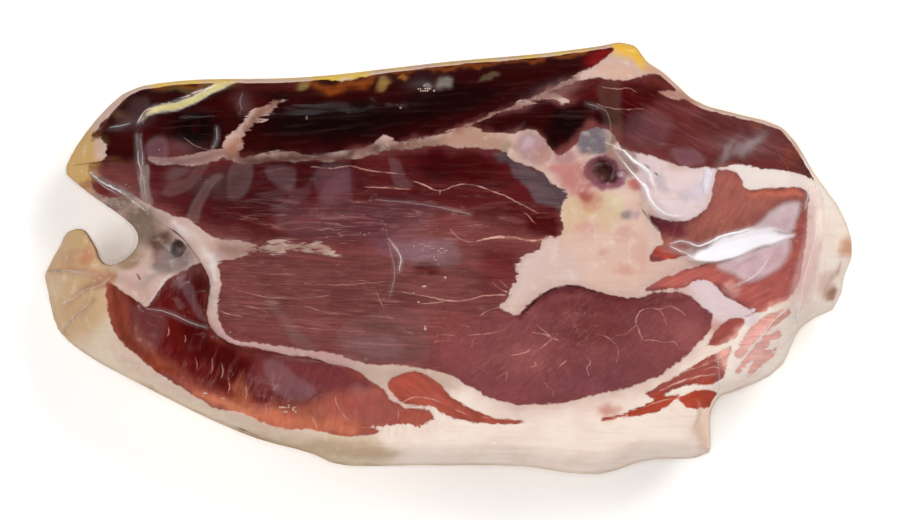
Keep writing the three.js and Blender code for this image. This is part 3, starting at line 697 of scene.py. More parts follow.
FAT_PATCHES = [
    ((150, 116, 110), .8, 34.8, 46.2, 6.4, 7.2, 0), ((178, 144, 150), .95, 34.8, 46.2, 5, 5.8, 0),
    ((200, 176, 188), .6, 34.8, 48, 2.2, 2.2, 0), ((148, 128, 108), .85, 24.6, 46.6, 1.8, 3, 0),
    ((170, 122, 126), .85, 48.6, 42, 4.2, 3.2, 0), ((124, 94, 72), .85, 68.6, 49.6, 2, 5, 0),
    ((70, 36, 30), .95, -111.6, 3.9, 2.2, 2.2, 0), ((216, 186, 154), .8, 52, 17, 5, 8, 0),
    ((190, 132, 108), .8, 60, 23, 6, 4, 0), ((214, 180, 150), .7, 66, 16, 7, 5, 0),
    ((206, 144, 132), .5, 58, 11, 5, 3, 0), ((202, 134, 124), .5, 65, 1.5, 3.4, 2, 20),
    ((206, 136, 124), .5, 72, -4.5, 4, 2, 0), ((204, 148, 136), .5, 74, 9, 4, 3, 0),
    ((206, 150, 138), .4, 80, 2, 4, 8, 0), ((206, 166, 122), .8, 58.6, 19, 1.8, 4.4, 0),
    ((126, 118, 118), .8, 74.6, 18.4, 2.8, 2.4, 0), ((178, 150, 160), .7, 79, 18, 1.8, 2.4, 0),
    ((192, 174, 178), .7, 90, 31, 2.6, 4.4, 20), ((198, 184, 192), .7, 99, 26, 3.4, 2.6, 0),
    ((210, 196, 208), .7, 104.6, 27, 3.4, 5, 10), ((184, 118, 112), .6, 52, 31, 6, 5, 10),
    ((150, 42, 36), .8, 57.5, 25, 3, 2.4, 0), ((186, 62, 44), .8, 77.5, 30.5, 3.4, 2.6, 0),
    ((176, 130, 124), .7, 40, 43, 4, 4, -30), ((152, 86, 54), .8, -86, 49.6, 1.6, 2.2, 0),
    # dark grey-brown patches in the recess between the notch and the step are painted shade
    ((122, 102, 84), .95, -127, 13, 8, 10, 0), ((88, 50, 36), .9, -121, 6, 5, 4.4, 20),
    ((104, 82, 70), .95, -137, 23, 9, 5, 32), ((110, 84, 62), .7, -143, 29, 6, 3, 30),
    ((152, 128, 100), .9, -133, -1, 6, 4.4, 0), ((190, 164, 134), .7, -140, -5, 4, 3, 0),
    ((122, 98, 94), .9, -115, -1, 8, 7, 20), ((206, 168, 112), .8, -153, 8, 6, 5, 0),
    ((198, 148, 112), .7, -156, -1, 7, 4, 0), ((190, 120, 70), .6, -150, 0, 3, 5, 0),
    ((204, 164, 128), .7, -156, -22, 6, 8, 0), ((214, 190, 158), .7, -167, -12, 5, 7, 0),
    ((160, 108, 72), .8, -150, 31, 4, 3, 30), ((196, 110, 90), .7, 66, -63, 5, 3, 0),
    ((240, 204, 184), .8, 108, -71, 4.4, 10, 0), ((216, 178, 158), .8, 72, 77, 8, 3, 0),
    ((206, 140, 88), .8, 167, 5, 4, 5, 0), ((252, 232, 216), .8, 160, 13, 6, 10, 10),
    ((214, 178, 164), .7, 158, -10, 5, 5, 0), ((150, 96, 60), .8, 161, -15, 2.6, 2, 0),
    ((226, 190, 182), .7, 149.5, 4, 4, 24, 0), ((206, 186, 170), .7, 120, 58, 5, 1.6, 0),
    ((196, 136, 130), .7, 112, -30, 3, 4, 30),
]


# Over the patches lies the hole that the hip bone's ligament left: a violet ring round a dark red pit
FAT_TOP_AREAS = [
    ((136, 76, 94), .8, [(56.8, 35), (58.4, 30.6), (63, 28), (69, 28.2), (73.4, 31.4), (73, 35.4),
        (69.6, 40.4), (65.6, 43), (60.6, 41.6), (57.6, 38.6)]),
    ((62, 4, 8), .7, [(63.4, 42), (66, 40.8), (68.4, 37.5), (71.6, 32.8), (66.6, 30.6), (62, 31.8),
        (60.4, 35), (61.6, 39)]),
]


# Where in a round patch its edge lies, on the scale of blob, and how soft the edge is
PATCH_EDGE, PATCH_SOFTNESS = 0.42, 0.34


def linear(colour):
    """An 0 to 255 colour as the light that it stands for."""
    colour = np.array(colour) / 255
    return np.where(colour > 0.04045, ((colour + 0.055) / 1.055) ** 2.4, colour / 12.92)


def uneven(px, py, reach=2.4, size=8.0, finer=3, finer_share=0.45):
    """The same places shifted about a little, so that what is painted by them gets natural edges."""
    shifts = np.array([noise.noise_vector((a, b, 3))
                       + finer_share * noise.noise_vector((finer * a, finer * b, 9))
                       for a, b in zip(px / size, py / size)])
    return px + reach * shifts[:, 0], py + reach * shifts[:, 1]


def painted(base, areas, stripes, patches, px, py, top_areas=()):
    """A base colour with outlined areas, stripes, round patches and more areas laid over it."""
    colours = np.tile(linear(base), (len(px), 1))

    def lay(colour, mask):
        colours[:] += mask[:, None] * (linear(colour) - colours)

    def lay_areas(outlined):
        for colour, width, outline in outlined:
            lay(colour, soft(area(outline, px, py, 2 * width), width))

    lay_areas(areas)
    for colour, strength, route in stripes:
        lay(colour, strength * along(route, px, py))
    for colour, strength, *where in patches:
        lay(colour, strength * soft(blob(px, py, *where) - PATCH_EDGE, PATCH_SOFTNESS))
    lay_areas(top_areas)
    return colours


def opaque(colours):
    """The colours with an alpha of 1."""
    return np.hstack([colours, np.ones((len(colours), 1))])


# The shifts come from noise that has a seed of its own, so every run gives the same ones.
SHIFT_SEED = 5
noise.seed_set(SHIFT_SEED)
paint_x, paint_y = uneven(x, y)
keep(ham.data, "lean_colour", "FLOAT_COLOR", opaque(painted(
    LEAN_BASE, LEAN_AREAS, LEAN_STRIPES, LEAN_PATCHES, paint_x, paint_y)))
keep(ham.data, "fat_colour", "FLOAT_COLOR", opaque(painted(
    FAT_BASE, FAT_AREAS_COLOUR, FAT_STRIPES, FAT_PATCHES, paint_x, paint_y, FAT_TOP_AREAS)))
keep(ham.data, "fat", "FLOAT", fat)
FRAYED = [
    # where fat runs out into the lean in strands along the fibres: strength, middle, radii, turn
    (1.7, -68, 4, 26, 7, 0), (1.2, -88, 4, 9, 9, 0), (.7, -90, -20, 6, 10, 0), (1, 30, -8, 9, 12, 0),
    (.5, 50, 28, 6, 8, 0), (.6, -20, -68, 30, 5, 0), (.7, 130, -40, 14, 14, 0), (.5, -140, 47, 8, 8, 0),
    (.6, 70, -62, 26, 6, 20), (.5, 104, -44, 10, 8, 30), (.4, -60, 42, 60, 4, 0),
    (1.2, -77, 60, 12, 8, 40), (.7, 40, 68, 20, 7, 24), (.8, -88, 48, 7, 6, 0), (.6, -146, 46, 8, 8, 0),
    (.6, 44, 14, 5, 10, 0), (.7, 6, 50, 16, 5, 0),
]
frayed = np.max([strength * blob(x, y, *at) for strength, *at in FRAYED], axis=0)
keep(ham.data, "frayed", "FLOAT", frayed)
MARBLED = [
    # strength of the fine wisps of fat in the lean, middle, radii, turn
    (.8, -50, 14, 46, 9, 0), (.7, 0, 15, 34, 11, 0), (.6, -40, -16, 60, 18, -4),
    (.4, 40, -36, 50, 18, 0), (.5, 118, 20, 24, 12, 0), (.5, 105, -12, 30, 8, 20),
    (.5, -80, -56, 40, 10, -16), (.35, 100, 54, 40, 10, -16),
]
marbled = np.max([strength * blob(x, y, *at) for strength, *at in MARBLED], axis=0)
keep(ham.data, "marbled", "FLOAT", marbled)
# Rind covers the walls and the underside. It starts where the normal points up less than the first
# value and comes in over the second, and it gets thicker from RIND_TOP mm above the foot downwards.
RIND_STARTS, RIND_COMES_IN = 0.22, 0.3
RIND_LEAST, RIND_TOP = 0.72, 40
low_down = np.clip((RIND_TOP - ham_places[:, 2] / MM) / RIND_TOP, 0, 1)
rind = np.clip((RIND_STARTS - ham_normals[:, 2]) / RIND_COMES_IN, 0, 1)
keep(ham.data, "rind", "FLOAT", rind * (RIND_LEAST + (1 - RIND_LEAST) * low_down))
keep(ham.data, "top", "FLOAT", facing_up)

# The fibres' run by the number of the lean area: degrees from +X, how much shorter and finer they are
# than in the long muscles, and how much they show. Later areas lie over earlier ones, and each takes a
# slice of the noise for itself.
FIBRE_RUNS = {
    0: (4, 1, 1, .8), 1: (-2, 1, 1, 1), 2: (-24, 1, 1, .7), 3: (38, 5, 1.4, .4), 4: (-3, 1, 1, 1),
    5: (82, 2.4, .8, .5), 6: (72, 2, .8, .5), 8: (-36, 1.4, 1, .55), 9: (64, 1.6, .8, .5),
    10: (24, 1.2, 1, .7), 11: (34, 1.2, 1, .7), 12: (14, 1.2, 1, .6),
}
SHOWS_ELSEWHERE = 0.6
SLICE_GAP = 7.3
grain = np.stack([x, y, np.zeros(len(x))], axis=1)
streaky = np.full(len(x), SHOWS_ELSEWHERE)
for slice_number, (area_number, (degrees, shorter, finer, shows)) in enumerate(FIBRE_RUNS.items(), 1):
    outline = LEAN_AREAS[area_number][2]
    inside = area(outline, x, y) > 0
    run_x, run_y = np.cos(np.radians(degrees)), np.sin(np.radians(degrees))
    run = np.stack([shorter * (x * run_x + y * run_y), finer * (y * run_x - x * run_y),
                    np.full(len(x), SLICE_GAP * slice_number)], axis=1)
    grain[inside] = run[inside]
    streaky[inside] = shows
keep(ham.data, "grain", "FLOAT_VECTOR", grain)
keep(ham.data, "streaky", "FLOAT", streaky)


class Socket:
    """An output of a material's node. Arithmetic on it adds Math nodes to the material."""

    def __init__(self, finish, output):
        self.finish, self.output = finish, output

    def math(self, operation, *values):
        return self.finish.node("Math", dict(enumerate(values)), operation=operation)

    def __add__(self, other):
        return self.math("ADD", self, other)

    def __radd__(self, other):
        return self.math("ADD", other, self)

    def __sub__(self, other):
        return self.math("SUBTRACT", self, other)

    def __rsub__(self, other):
        return self.math("SUBTRACT", other, self)

    def __mul__(self, other):
        return self.math("MULTIPLY", self, other)

    def __truediv__(self, other):
        return self.math("DIVIDE", self, other)

    def __abs__(self):
        return self.math("ABSOLUTE", self)

    def most(self, other):
        return self.math("MAXIMUM", self, other)

    def least(self, other):
        return self.math("MINIMUM", self, other)

    def above(self, low, high):
        """0 under low and 1 over high, with a smooth way between them."""
        return self.finish.node("MapRange", {"Value": self, "From Min": low, "From Max": high},
                                interpolation_type="SMOOTHSTEP")


class Finish:
    """A material made of nodes."""

    def __init__(self, name):
        self.material = bpy.data.materials.new(name)
        self.material.use_nodes = True
        self.material.node_tree.nodes.clear()

    def node(self, kind, inputs=None, output=0, **settings):
        """Adds a node. Its inputs take sockets or plain values, and one of its outputs comes back."""
        node = self.material.node_tree.nodes.new("ShaderNode" + kind)
        for key, value in settings.items():
            setattr(node, key, value)
        for key, value in (inputs or {}).items():
            if isinstance(value, Socket):
                self.material.node_tree.links.new(value.output, node.inputs[key])
            else:
                node.inputs[key].default_value = value
        return Socket(self, node.outputs[output]) if node.outputs else None

    def kept(self, name, output="Fac"):
        """What keep has stored on the mesh under a name."""
        return self.node("Attribute", output=output, attribute_name=name)

    def noise(self, where, scale, detail=2.0, roughness=0.5, distortion=0.0):
        return self.node("TexNoise", {"Vector": where, "Scale": scale, "Detail": detail,
                                      "Roughness": roughness, "Distortion": distortion})

    def mix(self, factor, a, b):
        """Colour a where the factor is 0 and colour b where it is 1."""
        return self.node("Mix", {0: factor, 6: a, 7: b}, output=2, data_type="RGBA")

    def stretched(self, where, scale):
        return self.node("VectorMath", {0: where, 1: scale}, operation="MULTIPLY")

    def bump(self, height, distance, strength, normal=None):
        inputs = {"Height": height, "Distance": distance, "Strength": strength}
        if normal:
            inputs["Normal"] = normal
        return self.node("Bump", inputs)

    def lines(self, name, layers, wander, blur):
        """1 on the thin lines that keep_lines has stored, and fainter where they are thinner."""
        thin_shows, width_adds = 0.35, 1.6
        total = 0.0
        for number in range(layers):
            half = self.kept(f"{name}_half_{number}")
            mask = 1 - (abs(self.kept(f"{name}_left_{number}") + wander) - half).above(-blur, blur)
            total = (mask * (half * width_adds + thin_shows)).most(total)
        return total

    def surface(self, shader):
        self.node("OutputMaterial", {"Surface": shader})
        return self.material


def rgba(colour):
    """An 0 to 255 colour as a socket takes it."""
    return (*linear(colour), 1.0)


PALE_LEAN, VEIN_FAT, SHADE_AND_MARK_BROWN = (172, 116, 112), (222, 168, 150), (44, 16, 14)
FAT_BLUSH, FAT_WHITE, FAT_THREADS = (206, 150, 132), (250, 240, 230), (190, 140, 126)
RIND_PALE, RIND_TAN = (236, 208, 170), (208, 164, 114)
RIND_BROWN, RIND_OLIVE = (150, 104, 62), (126, 104, 74)


def ham_finish():
    """Cured meat: matt, fibrous lean with fine fat in it, waxy fat, and tan rind round the sides."""
    finish = Finish("cured ham")
    place = finish.node("TexCoord", output="Object")
    grain = finish.kept("grain", "Vector")

    ragged = finish.noise(place, 420, 3, 0.6) - 0.5
    coarse = finish.noise(place, 110, 2, 0.5) - 0.5
    fray = finish.noise(finish.stretched(grain, (0.12, 0.62, 1)), 1.0, 3, 0.6, 0.4) - 0.52
    fray = (finish.kept("fat") + 4).above(0, 3) * finish.kept("frayed") * fray * 9
    fat_depth = finish.kept("fat") + ragged * 1.9 + coarse * 2.4 + fray
    is_fat = fat_depth.above(-0.4, 0.4)

    fibres = finish.noise(finish.stretched(grain, (0.07, 1.1, 1)), 1.0, 4, 0.62, 0.6)
    strands = finish.noise(finish.stretched(grain, (0.035, 0.26, 1)), 1.0, 3, 0.55, 1.0)
    cloudy = finish.noise(place, 46, 4, 0.6)
    fine = finish.noise(place, 900, 2, 0.5)
    lean = finish.kept("lean_colour", "Color")
    tone = (0.3 + fibres * 1.4) * (0.56 + strands * 0.88) - 1
    tone = (1 + tone * finish.kept("streaky")) * (1.12 - cloudy.above(0.4, 0.7) * 0.24)
    tone = tone * (0.86 + finish.noise(place, 520, 3, 0.65) * 0.28)
    lean = finish.node("VectorMath", {0: lean, "Scale": tone}, operation="SCALE")
    marbled = finish.kept("marbled")
    pale = finish.noise(finish.stretched(grain, (0.05, 0.45, 1)), 1.0, 4, 0.6, 0.8).above(0.5, 0.72)
    lean = finish.mix(pale * (marbled * 0.5 + 0.04), lean, rgba(PALE_LEAN))

    wander = (finish.noise(place, 260, 4, 0.7) - 0.5) * 1.5
    broken = finish.noise(place, 230, 3, 0.6).above(0.38, 0.58)
    vein = finish.lines("vein", vein_layers, wander, 0.24) * (0.3 + broken * 0.8)
    wisps = finish.noise(finish.stretched(grain, (0.024, 0.34, 1)), 1.0, 3, 0.6, 0.3)
    wisps = (1 - abs(wisps - 0.52).above(0.0, 0.02)) * finish.noise(place, 60, 3, 0.6).above(0.46, 0.64)
    marbling = vein.most(wisps * marbled * 0.7)
    lean = finish.mix(marbling * 0.85, lean, rgba(VEIN_FAT))

    fat = finish.kept("fat_colour", "Color")
    mottle = finish.noise(place, 60, 4, 0.6)
    fat = finish.mix((mottle - 0.42).above(0, 0.3) * 0.2, fat, rgba(FAT_BLUSH))
    fat = finish.mix(finish.noise(place, 190, 3, 0.6).above(0.52, 0.75) * 0.24, fat, rgba(FAT_WHITE))
    threads = finish.noise(finish.stretched(grain, (0.05, 0.6, 1)), 1.0, 3, 0.6, 0.6).above(0.5, 0.7)
    fat = finish.mix(threads * 0.14, fat, rgba(FAT_THREADS))

    blotches = finish.noise(place, 30, 4, 0.6).above(0.35, 0.65)
    rind = finish.mix(blotches, rgba(RIND_PALE), rgba(RIND_TAN))
    rind = finish.mix(finish.noise(place, 80, 3, 0.6).above(0.52, 0.7) * 0.6, rind, rgba(RIND_BROWN))
    rind = finish.mix(finish.noise(place, 14, 4, 0.65).above(0.5, 0.66) * 0.55, rind, rgba(RIND_OLIVE))
    fat = finish.mix(finish.kept("rind"), fat, rind)

    colour = finish.mix(is_fat, lean, fat)
    # Painted shade in cracks, creases and under raised edges of fat, with the rind line and specks
    shade_and_mark_line = finish.lines("shade_and_mark_line", shade_and_mark_layers, wander * 0.6, 0.3)
    shade_and_mark_line = shade_and_mark_line * finish.kept("top").above(0.1, 0.4)
    colour = finish.mix(shade_and_mark_line * (0.35 + broken * 0.45), colour, rgba(SHADE_AND_MARK_BROWN))
    height = fibres * 0.5 + strands * 0.7 + marbling * 0.5
    bump = finish.bump(height * (1 - is_fat), 0.0005, 0.6)
    bump = finish.bump(mottle * is_fat + fine * 0.12, 0.0008, 0.5, bump)
    bump = finish.bump(is_fat, 0.0003, 0.6, bump)
    return finish.surface(finish.node("BsdfPrincipled", {
        "Base Color": colour, "Roughness": 0.6 - is_fat * 0.1, "Specular IOR Level": 0.06,
        "Normal": bump}))


ham.data.materials.append(ham_finish())
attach(ham, "root")
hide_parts("ham_pack")

# The film: one clear bag of thin plastic, drawn tight by the vacuum and shrunk. It bridges hollows and
# stands up in thin folds where there was too much of it. It starts as the ham's net, moved outwards,
# and its folds are real ridges.
FOLDS = [
    # height, and the haze and painted highlight of the fold's edge, then the route with its width
    (1.4, .85, [(-88, 75, 1.6), (-95, 71.5, 1.8), (-105, 66.7, 1.5), (-115, 62.7, 1.3), (-125, 60, 1.2),
        (-128, 56, 1)]),
    (1.0, .5, [(-129, 51, .8), (-128, 40, 1.2), (-127, 35, 1.4), (-126, 30, 1.4), (-125, 22, 1.1),
        (-124, 18, .8)]),
    (1.6, .95, [(-148, 36.2, .8), (-144.4, 33.2, 1), (-140, 30.6, 1.2), (-135.6, 28.2, 1.2),
        (-130.4, 24.2, 1.2), (-125, 20.8, 1)]),
    (1.2, .8, [(-148.2, 35.6, .5), (-145.4, 33, .7), (-141.2, 29.8, .8), (-136, 27, .7)]),
    (1.0, .6, [(-127.8, 51.4, .5), (-127, 41, .7), (-127.2, 33, 1), (-125.6, 22, .8)]),
    (1.2, .8, [(-142.5, 20.7, .6), (-138.4, 17.9, .9), (-133.4, 14.6, .9), (-130, 10.6, .7)]),
    (0.7, .5, [(-96, 54, .7), (-95.7, 51, .9), (-96.6, 47.4, 1), (-97.8, 45.4, .7)]),
    (0.8, .6, [(-112.2, -6, .8), (-115.8, -7.9, 1), (-119.3, -12, 1), (-122.2, -16.7, 1),
        (-125.4, -20.4, .8)]),
    (0.8, .45, [(-125.4, -21.6, .8), (-118.1, -22.6, 1), (-108.7, -26.2, 1), (-99.8, -29.1, .8)]),
    (0.7, .5, [(-140, 53.6, .8), (-136, 54.6, 1.2), (-131.5, 55.7, .8)]),
    (0.9, .6, [(-23.3, 6, 1), (-19.6, 0.6, 1.4), (-20, -5.4, 1)]),
    (0.9, .45, [(-170, -6, .8), (-157, -6, 1), (-145, -8, .8)]),
    (0.9, .35, [(-140, -9, .8), (-145, -12, 1), (-150, -13.5, 1), (-155, -17, 1), (-160, -19, .8)]),
    (0.9, .35, [(-148, -18, .8), (-152, -23, 1), (-157, -27, 1), (-161, -31, .8)]),
    (1.6, 1.2, [(66, 48.6, .6), (72.5, 44.9, 1.2), (78.9, 39.1, 1.5), (84, 34.6, 1.4),
        (86.6, 30.1, .8)]),
    (1.4, 1.1, [(70, 44.4, .6), (72.5, 41.7, 1), (77.6, 35.3, 1.2), (82.1, 29.5, 1.5),
        (85.3, 23.7, 1.4), (89.2, 19.9, 1.2), (93.7, 17.6, 1), (98.2, 17.3, .5)]),
    (1.8, 1, [(92.6, 5.4, .6), (96.9, 6.4, 1.1), (100.7, 5.4, 1), (104.6, 4.4, 1.2), (108.5, 5.7, 1.3),
        (113.6, 7.8, 1.5), (121.3, 10, 1.5), (131.6, 11.9, 1.4), (142, 11, .8)]),
    (1.8, 1, [(93, 4.6, .8), (96.9, 3, 1.1), (100.7, 1.6, 1.2), (104.6, -.1, 1.3), (111, -.9, 1.4),
        (117, .2, 1.3), (122, 2, 1)]),
    (1.0, 1.1, [(120.4, -11.4, .7), (126.5, -8.4, 1.2), (130.3, -5.2, 1.3), (132.9, -1.4, 1.2),
        (134.2, 1.9, .9), (132.6, 3, .8), (127.8, 1.2, .8), (121.3, -2, .8), (117.5, -5.2, .5)]),
    (0.8, .8, [(149.6, 28.2, .6), (149, 24, 1), (148.3, 19.9, .6)]),
    (1.6, .5, [(153, 30, 1.2), (154, 20, 1.6), (153, 10, 1.8), (151, 0, 1.8), (148, -10, 1.7),
        (146, -20, 1.5), (142, -38, 1.2)]),
    (0.8, .3, [(160, 24, .8), (157, 10, 1), (157, -4, 1), (158, -16, .8)]),
    (0.8, .3, [(162, -3, .8), (161, -8, .8)]),
    (0.8, .35, [(58, 64, .8), (66, 61, 1), (68, 54, 1.1), (67, 46, .8)]),
    (0.8, .3, [(-30, 24, .8), (-10, 22, .9), (10, 18, .8)]),
    (0.6, .22, [(-26, 14, .8), (-24, 4, .9), (-22, -6, .9), (-24, -16, .8)]),
    (0.7, .25, [(-85, 67.4, .5), (-86.4, 64.6, .9), (-85.4, 61, .5)]),
    (0.9, .3, [(104, -60, .8), (104, -70, 1), (107, -79, .8)]),
    (0.9, .3, [(112, -40, .8), (113, -50, 1.2), (111, -60, 1)]),
]
# Milky patches where the film stands off, and painted glare of the lamps, as at 100, 3 and 123, -2
HAZE_AND_GLARE_PATCHES = [
    # strength, middle, radii, turn
    (.05, -134, 23, 9, 5, 28), (.05, -126, 12, 7, 8, 0), (.08, -113, -1, 8, 8, 10),
    (.05, -130, 58, 6, 4, 30), (.07, 78, 34, 6, 7, 0), (.3, 100, 3.2, 6, 1.6, 0),
    (.24, 130, -42, 9, 9, 0), (.2, 125, 47, 9, 2.6, 30), (.16, 116, 44, 2.4, 7, -30),
    (.5, 123, -2.4, 5, 1.6, 24), (.06, -150, 8, 8, 8, 0), (.03, -98, 30, 10, 6, 0),
    (.04, -10, 72, 6, 2.4, 10), (.04, -86, 64, 3, 4, 0), (.05, 46, 70, 12, 3, 20),
    (.05, 122, 47, 14, 4, -6), (.06, -112, 34, 6, 3, 30), (.04, -112, 46, 8, 3, 0),
]
# Where the film stands off the meat it looks milky. The white areas at the butt and on the lobe
# and the pale yellow strip along the shank's top are painted reflections of the lamps; the
# grey-violet patches over the dark lean are milky film with painted reflections in it. All have a
# clear outline.
HAZE_AND_GLARE_AREAS = [
    # strength, softness, colour, outline
    (.07, .8, (220, 196, 188), [(-119, 26.8), (-115.4, 31.6), (-108, 33.2), (-104.2, 38), (-99.4, 38.6),
        (-101.5, 34.8), (-104.7, 30), (-109, 27.3)]),
    (.11, .9, (214, 186, 174), [(-108.6, 15), (-106.9, 20.9), (-103.7, 27.3), (-99.9, 32.7),
        (-96.2, 34.8), (-92.9, 34.3), (-96.2, 31.1), (-99.4, 26.3), (-102, 20.9), (-103.7, 15)]),
    (.1, 1.4, (214, 190, 206), [(-124, 48.7), (-121, 50), (-117.4, 49), (-116, 44), (-118, 40),
        (-124, 41)]),
    (.05, 1.2, (220, 190, 190), [(-131.5, 65.4), (-124, 65.4), (-124, 58.9), (-131.5, 58.9)]),
    (.07, 1.2, (220, 196, 196), [(-88.4, 39), (-81.3, 38.4), (-81.8, 32), (-85, 25), (-90, 24)]),
    (.06, .8, (220, 204, 204), [(-75.9, 36.8), (-63.6, 36.5), (-64.7, 28.3), (-71.1, 29.9)]),
    (.05, 1.2, (220, 190, 200), [(-53.9, 37.2), (-41.1, 37.2), (-40.5, 29.4), (-40, 24), (-49.7, 22),
        (-55.5, 31.5)]),
    (.06, .8, (226, 190, 200), [(-23.9, 41.7), (-20.7, 40.6), (-17.5, 33.1), (-15, 29.9), (-20.7, 29.5),
        (-23.4, 36.9)]),
    (.04, 4, (226, 196, 214), [(-72, 22), (-50, 21), (-30, 22), (-6, 20), (-10, 10), (-30, 6), (-50, 9),
        (-68, 12)]),
    (.05, 1.6, (200, 180, 150), [(64.5, 73), (69.5, 73), (72, 60), (73, 50), (68, 46), (66, 55)]),
    (.05, 3, (222, 180, 200), [(75, 58), (92, 57), (90, 47), (78, 48), (74, 52)]),
    (.1, 1.4, (222, 186, 208), [(93, 43.6), (103.5, 44.4), (107, 40.4), (99, 38), (94.6, 40.6)]),
    (.56, 1.6, (236, 210, 216), [(146.4, 22.4), (139.3, 21.8), (134.2, 18.6), (130.3, 14.7), (124, 9),
        (136.8, 10), (142.5, 11), (145.9, 19.9)]),
    (.6, 1.8, (232, 202, 208), [(112, -3), (117.5, 0), (122.6, 1.9), (134.2, 5), (141.4, 9), (142.5, 4),
        (140.6, -.8), (136.8, -4.8), (130.3, -8), (125, -10), (119, -7)]),
    (.97, 1.5, (255, 250, 255), [(101, .4), (108, 4.2), (113, 7.2), (121, 9.8), (131, 11.8),
        (137, 11.4), (144, 10), (135, 5.4), (128, 4), (122.6, 1), (116, -.6), (110, -1.2)]),
    (.26, 1.8, (240, 212, 210), [(150.6, 27.6), (149.6, 17.9), (148.3, 8.3), (145, -4.6), (143, -18),
        (150, -20), (152.2, -11), (154.1, 1.8), (154.1, 14.7), (154.8, 27.6)]),
    (.7, 1, (244, 238, 252), [(107.2, 37.4), (110.4, 36.2), (109.2, 30), (107.6, 26), (106.4, 31),
        (107, 34)]),
    (.07, .8, (222, 200, 214), [(-112.2, -8.2), (-106.3, -11.2), (-104, -19.1), (-100.4, -26.2),
        (-103.4, -25), (-107.5, -19.1), (-109.9, -13.8)]),
    (.05, 2, (220, 190, 190), [(-129.9, -20.3), (-125.2, -21.5), (-118.1, -23.8), (-118.1, -32.1),
        (-124, -39.1), (-127.5, -35.6), (-130.5, -26.2)]),
    (.03, 1, (216, 206, 204), [(-46, -33), (-9.8, -24), (-9.8, -44.6), (-25, -43.4), (-40, -41.8)]),
    (.05, 1.4, (216, 200, 196), [(-75, -15), (-68.9, -22), (-62.7, -30), (-54, -38.5), (-60, -39.3),
        (-65, -34.6), (-69.5, -25.6), (-74.4, -20)]),
    (.09, 2.6, (226, 200, 212), [(-24, 6.4), (-12, 6), (3, 6.6), (4.4, -2), (-8, -3), (-20, .6)]),
    (.08, 1.6, (226, 196, 206), [(-75.6, -43.4), (-70.6, -43), (-64.4, -48.2), (-55, -56), (-58.2, -59),
        (-68.3, -58.2), (-74.4, -51.5)]),
    (.82, .6, (232, 214, 136), [(-127, 56.4), (-122.9, 61.2), (-117.6, 62.7), (-112.2, 64.3),
        (-106.9, 66.4), (-101.5, 68.6), (-93.5, 72.6), (-87.2, 75.5), (-84, 76), (-84.5, 73.8),
        (-87.2, 72.6), (-93.5, 69.9), (-101.5, 66.2), (-107.9, 63.5), (-113.3, 61.3), (-118.7, 60.4),
        (-124.5, 58.9)]),
    (.3, 1, (206, 190, 176), [(-127, 38.6), (-125.4, 38.8), (-124.8, 30), (-124, 21), (-125.6, 21),
        (-127.2, 30)]),
]
HAZE_AND_GLARE_WHITE = (244, 240, 240)
# Shares of a fold's haze and width: the soft haze beside its edge, and the sharp line on the edge,
# which is whitened film with a painted highlight
SOFT_EDGE, FOLD_EDGE = 0.2, 0.46
DRAWN_TIGHT = 26
CLEARANCE = 0.12 * MM
# Puckers of the walls: their height in mm, how fine they are per metre, and how high above the foot
# they are complete
PUCKER_HEIGHT = 1.1
PUCKER_FINENESS = np.array((26, 26, 70))
PUCKERS_FROM = 6 * MM

film = bpy.data.objects.new("film", ham.data.copy())
bpy.context.collection.objects.link(film)
film.data.materials.clear()
for name in kept_names:
    film.data.attributes.remove(film.data.attributes[name])
outer = ham_places + (FILM_GAP + MM * np.clip(depth, 0, None))[:, None] * ham_normals
tight = relax(outer, film.data, rounds=DRAWN_TIGHT, shares=(0.5,))
lift = ((tight - outer) * ham_normals).sum(axis=1)
film_places = outer + (np.clip(lift, 0, None) + CLEARANCE)[:, None] * ham_normals
# The haze holds the film's milkiness and the painted glare of the lamps.
haze_and_glare = np.zeros(len(x))
ridge = np.zeros(len(x))
for height, haze_and_highlight, route in FOLDS:
    stripe = along(route, x, y)
    ridge = np.maximum(ridge, height * stripe)
    haze_and_glare = np.maximum(haze_and_glare, SOFT_EDGE * haze_and_highlight * stripe)
for strength, *where in HAZE_AND_GLARE_PATCHES:
    haze_and_glare = np.maximum(haze_and_glare, strength * blob(paint_x, paint_y, *where))
haze_and_glare_x, haze_and_glare_y = uneven(x, y, 0.5, 6)
for strength, width, colour, outline in HAZE_AND_GLARE_AREAS:
    haze_and_glare = np.maximum(haze_and_glare, strength * soft(area(outline, haze_and_glare_x, haze_and_glare_y, 2 * width), width))
puckers = np.abs([noise.turbulence(Vector(place), 3, False) for place in film_places * PUCKER_FINENESS])
on_walls = (1 - facing_up) * np.clip(film_places[:, 2] / PUCKERS_FROM, 0, 1)
ridge = ridge * facing_up + PUCKER_HEIGHT * puckers * on_walls
film_places = film_places + (MM * ridge)[:, None] * ham_normals
write_vertices(film.data, film_places)
keep(film.data, "haze_and_glare", "FLOAT", haze_and_glare * facing_up)
keep(film.data, "top", "FLOAT", facing_up)
tints = [(colour, 2 * width, outline) for _, width, colour, outline in HAZE_AND_GLARE_AREAS]
haze_and_glare_colour = painted(HAZE_AND_GLARE_WHITE, tints, [], [], haze_and_glare_x, haze_and_glare_y)
keep(film.data, "haze_and_glare_colour", "FLOAT_COLOR", opaque(haze_and_glare_colour))
fold_lines = [[(fx, fy, FOLD_EDGE * haze_and_highlight * width) for fx, fy, width in route]
              for _, haze_and_highlight, route in FOLDS]
fold_layers = keep_lines(film.data, "fold", fold_lines, x, y)

# The film's plain glint is held down, so that the pale ground it mirrors doesn't veil the dark lean.
GLINT_MOST = 0.045
OPAQUE_MOST = 0.95


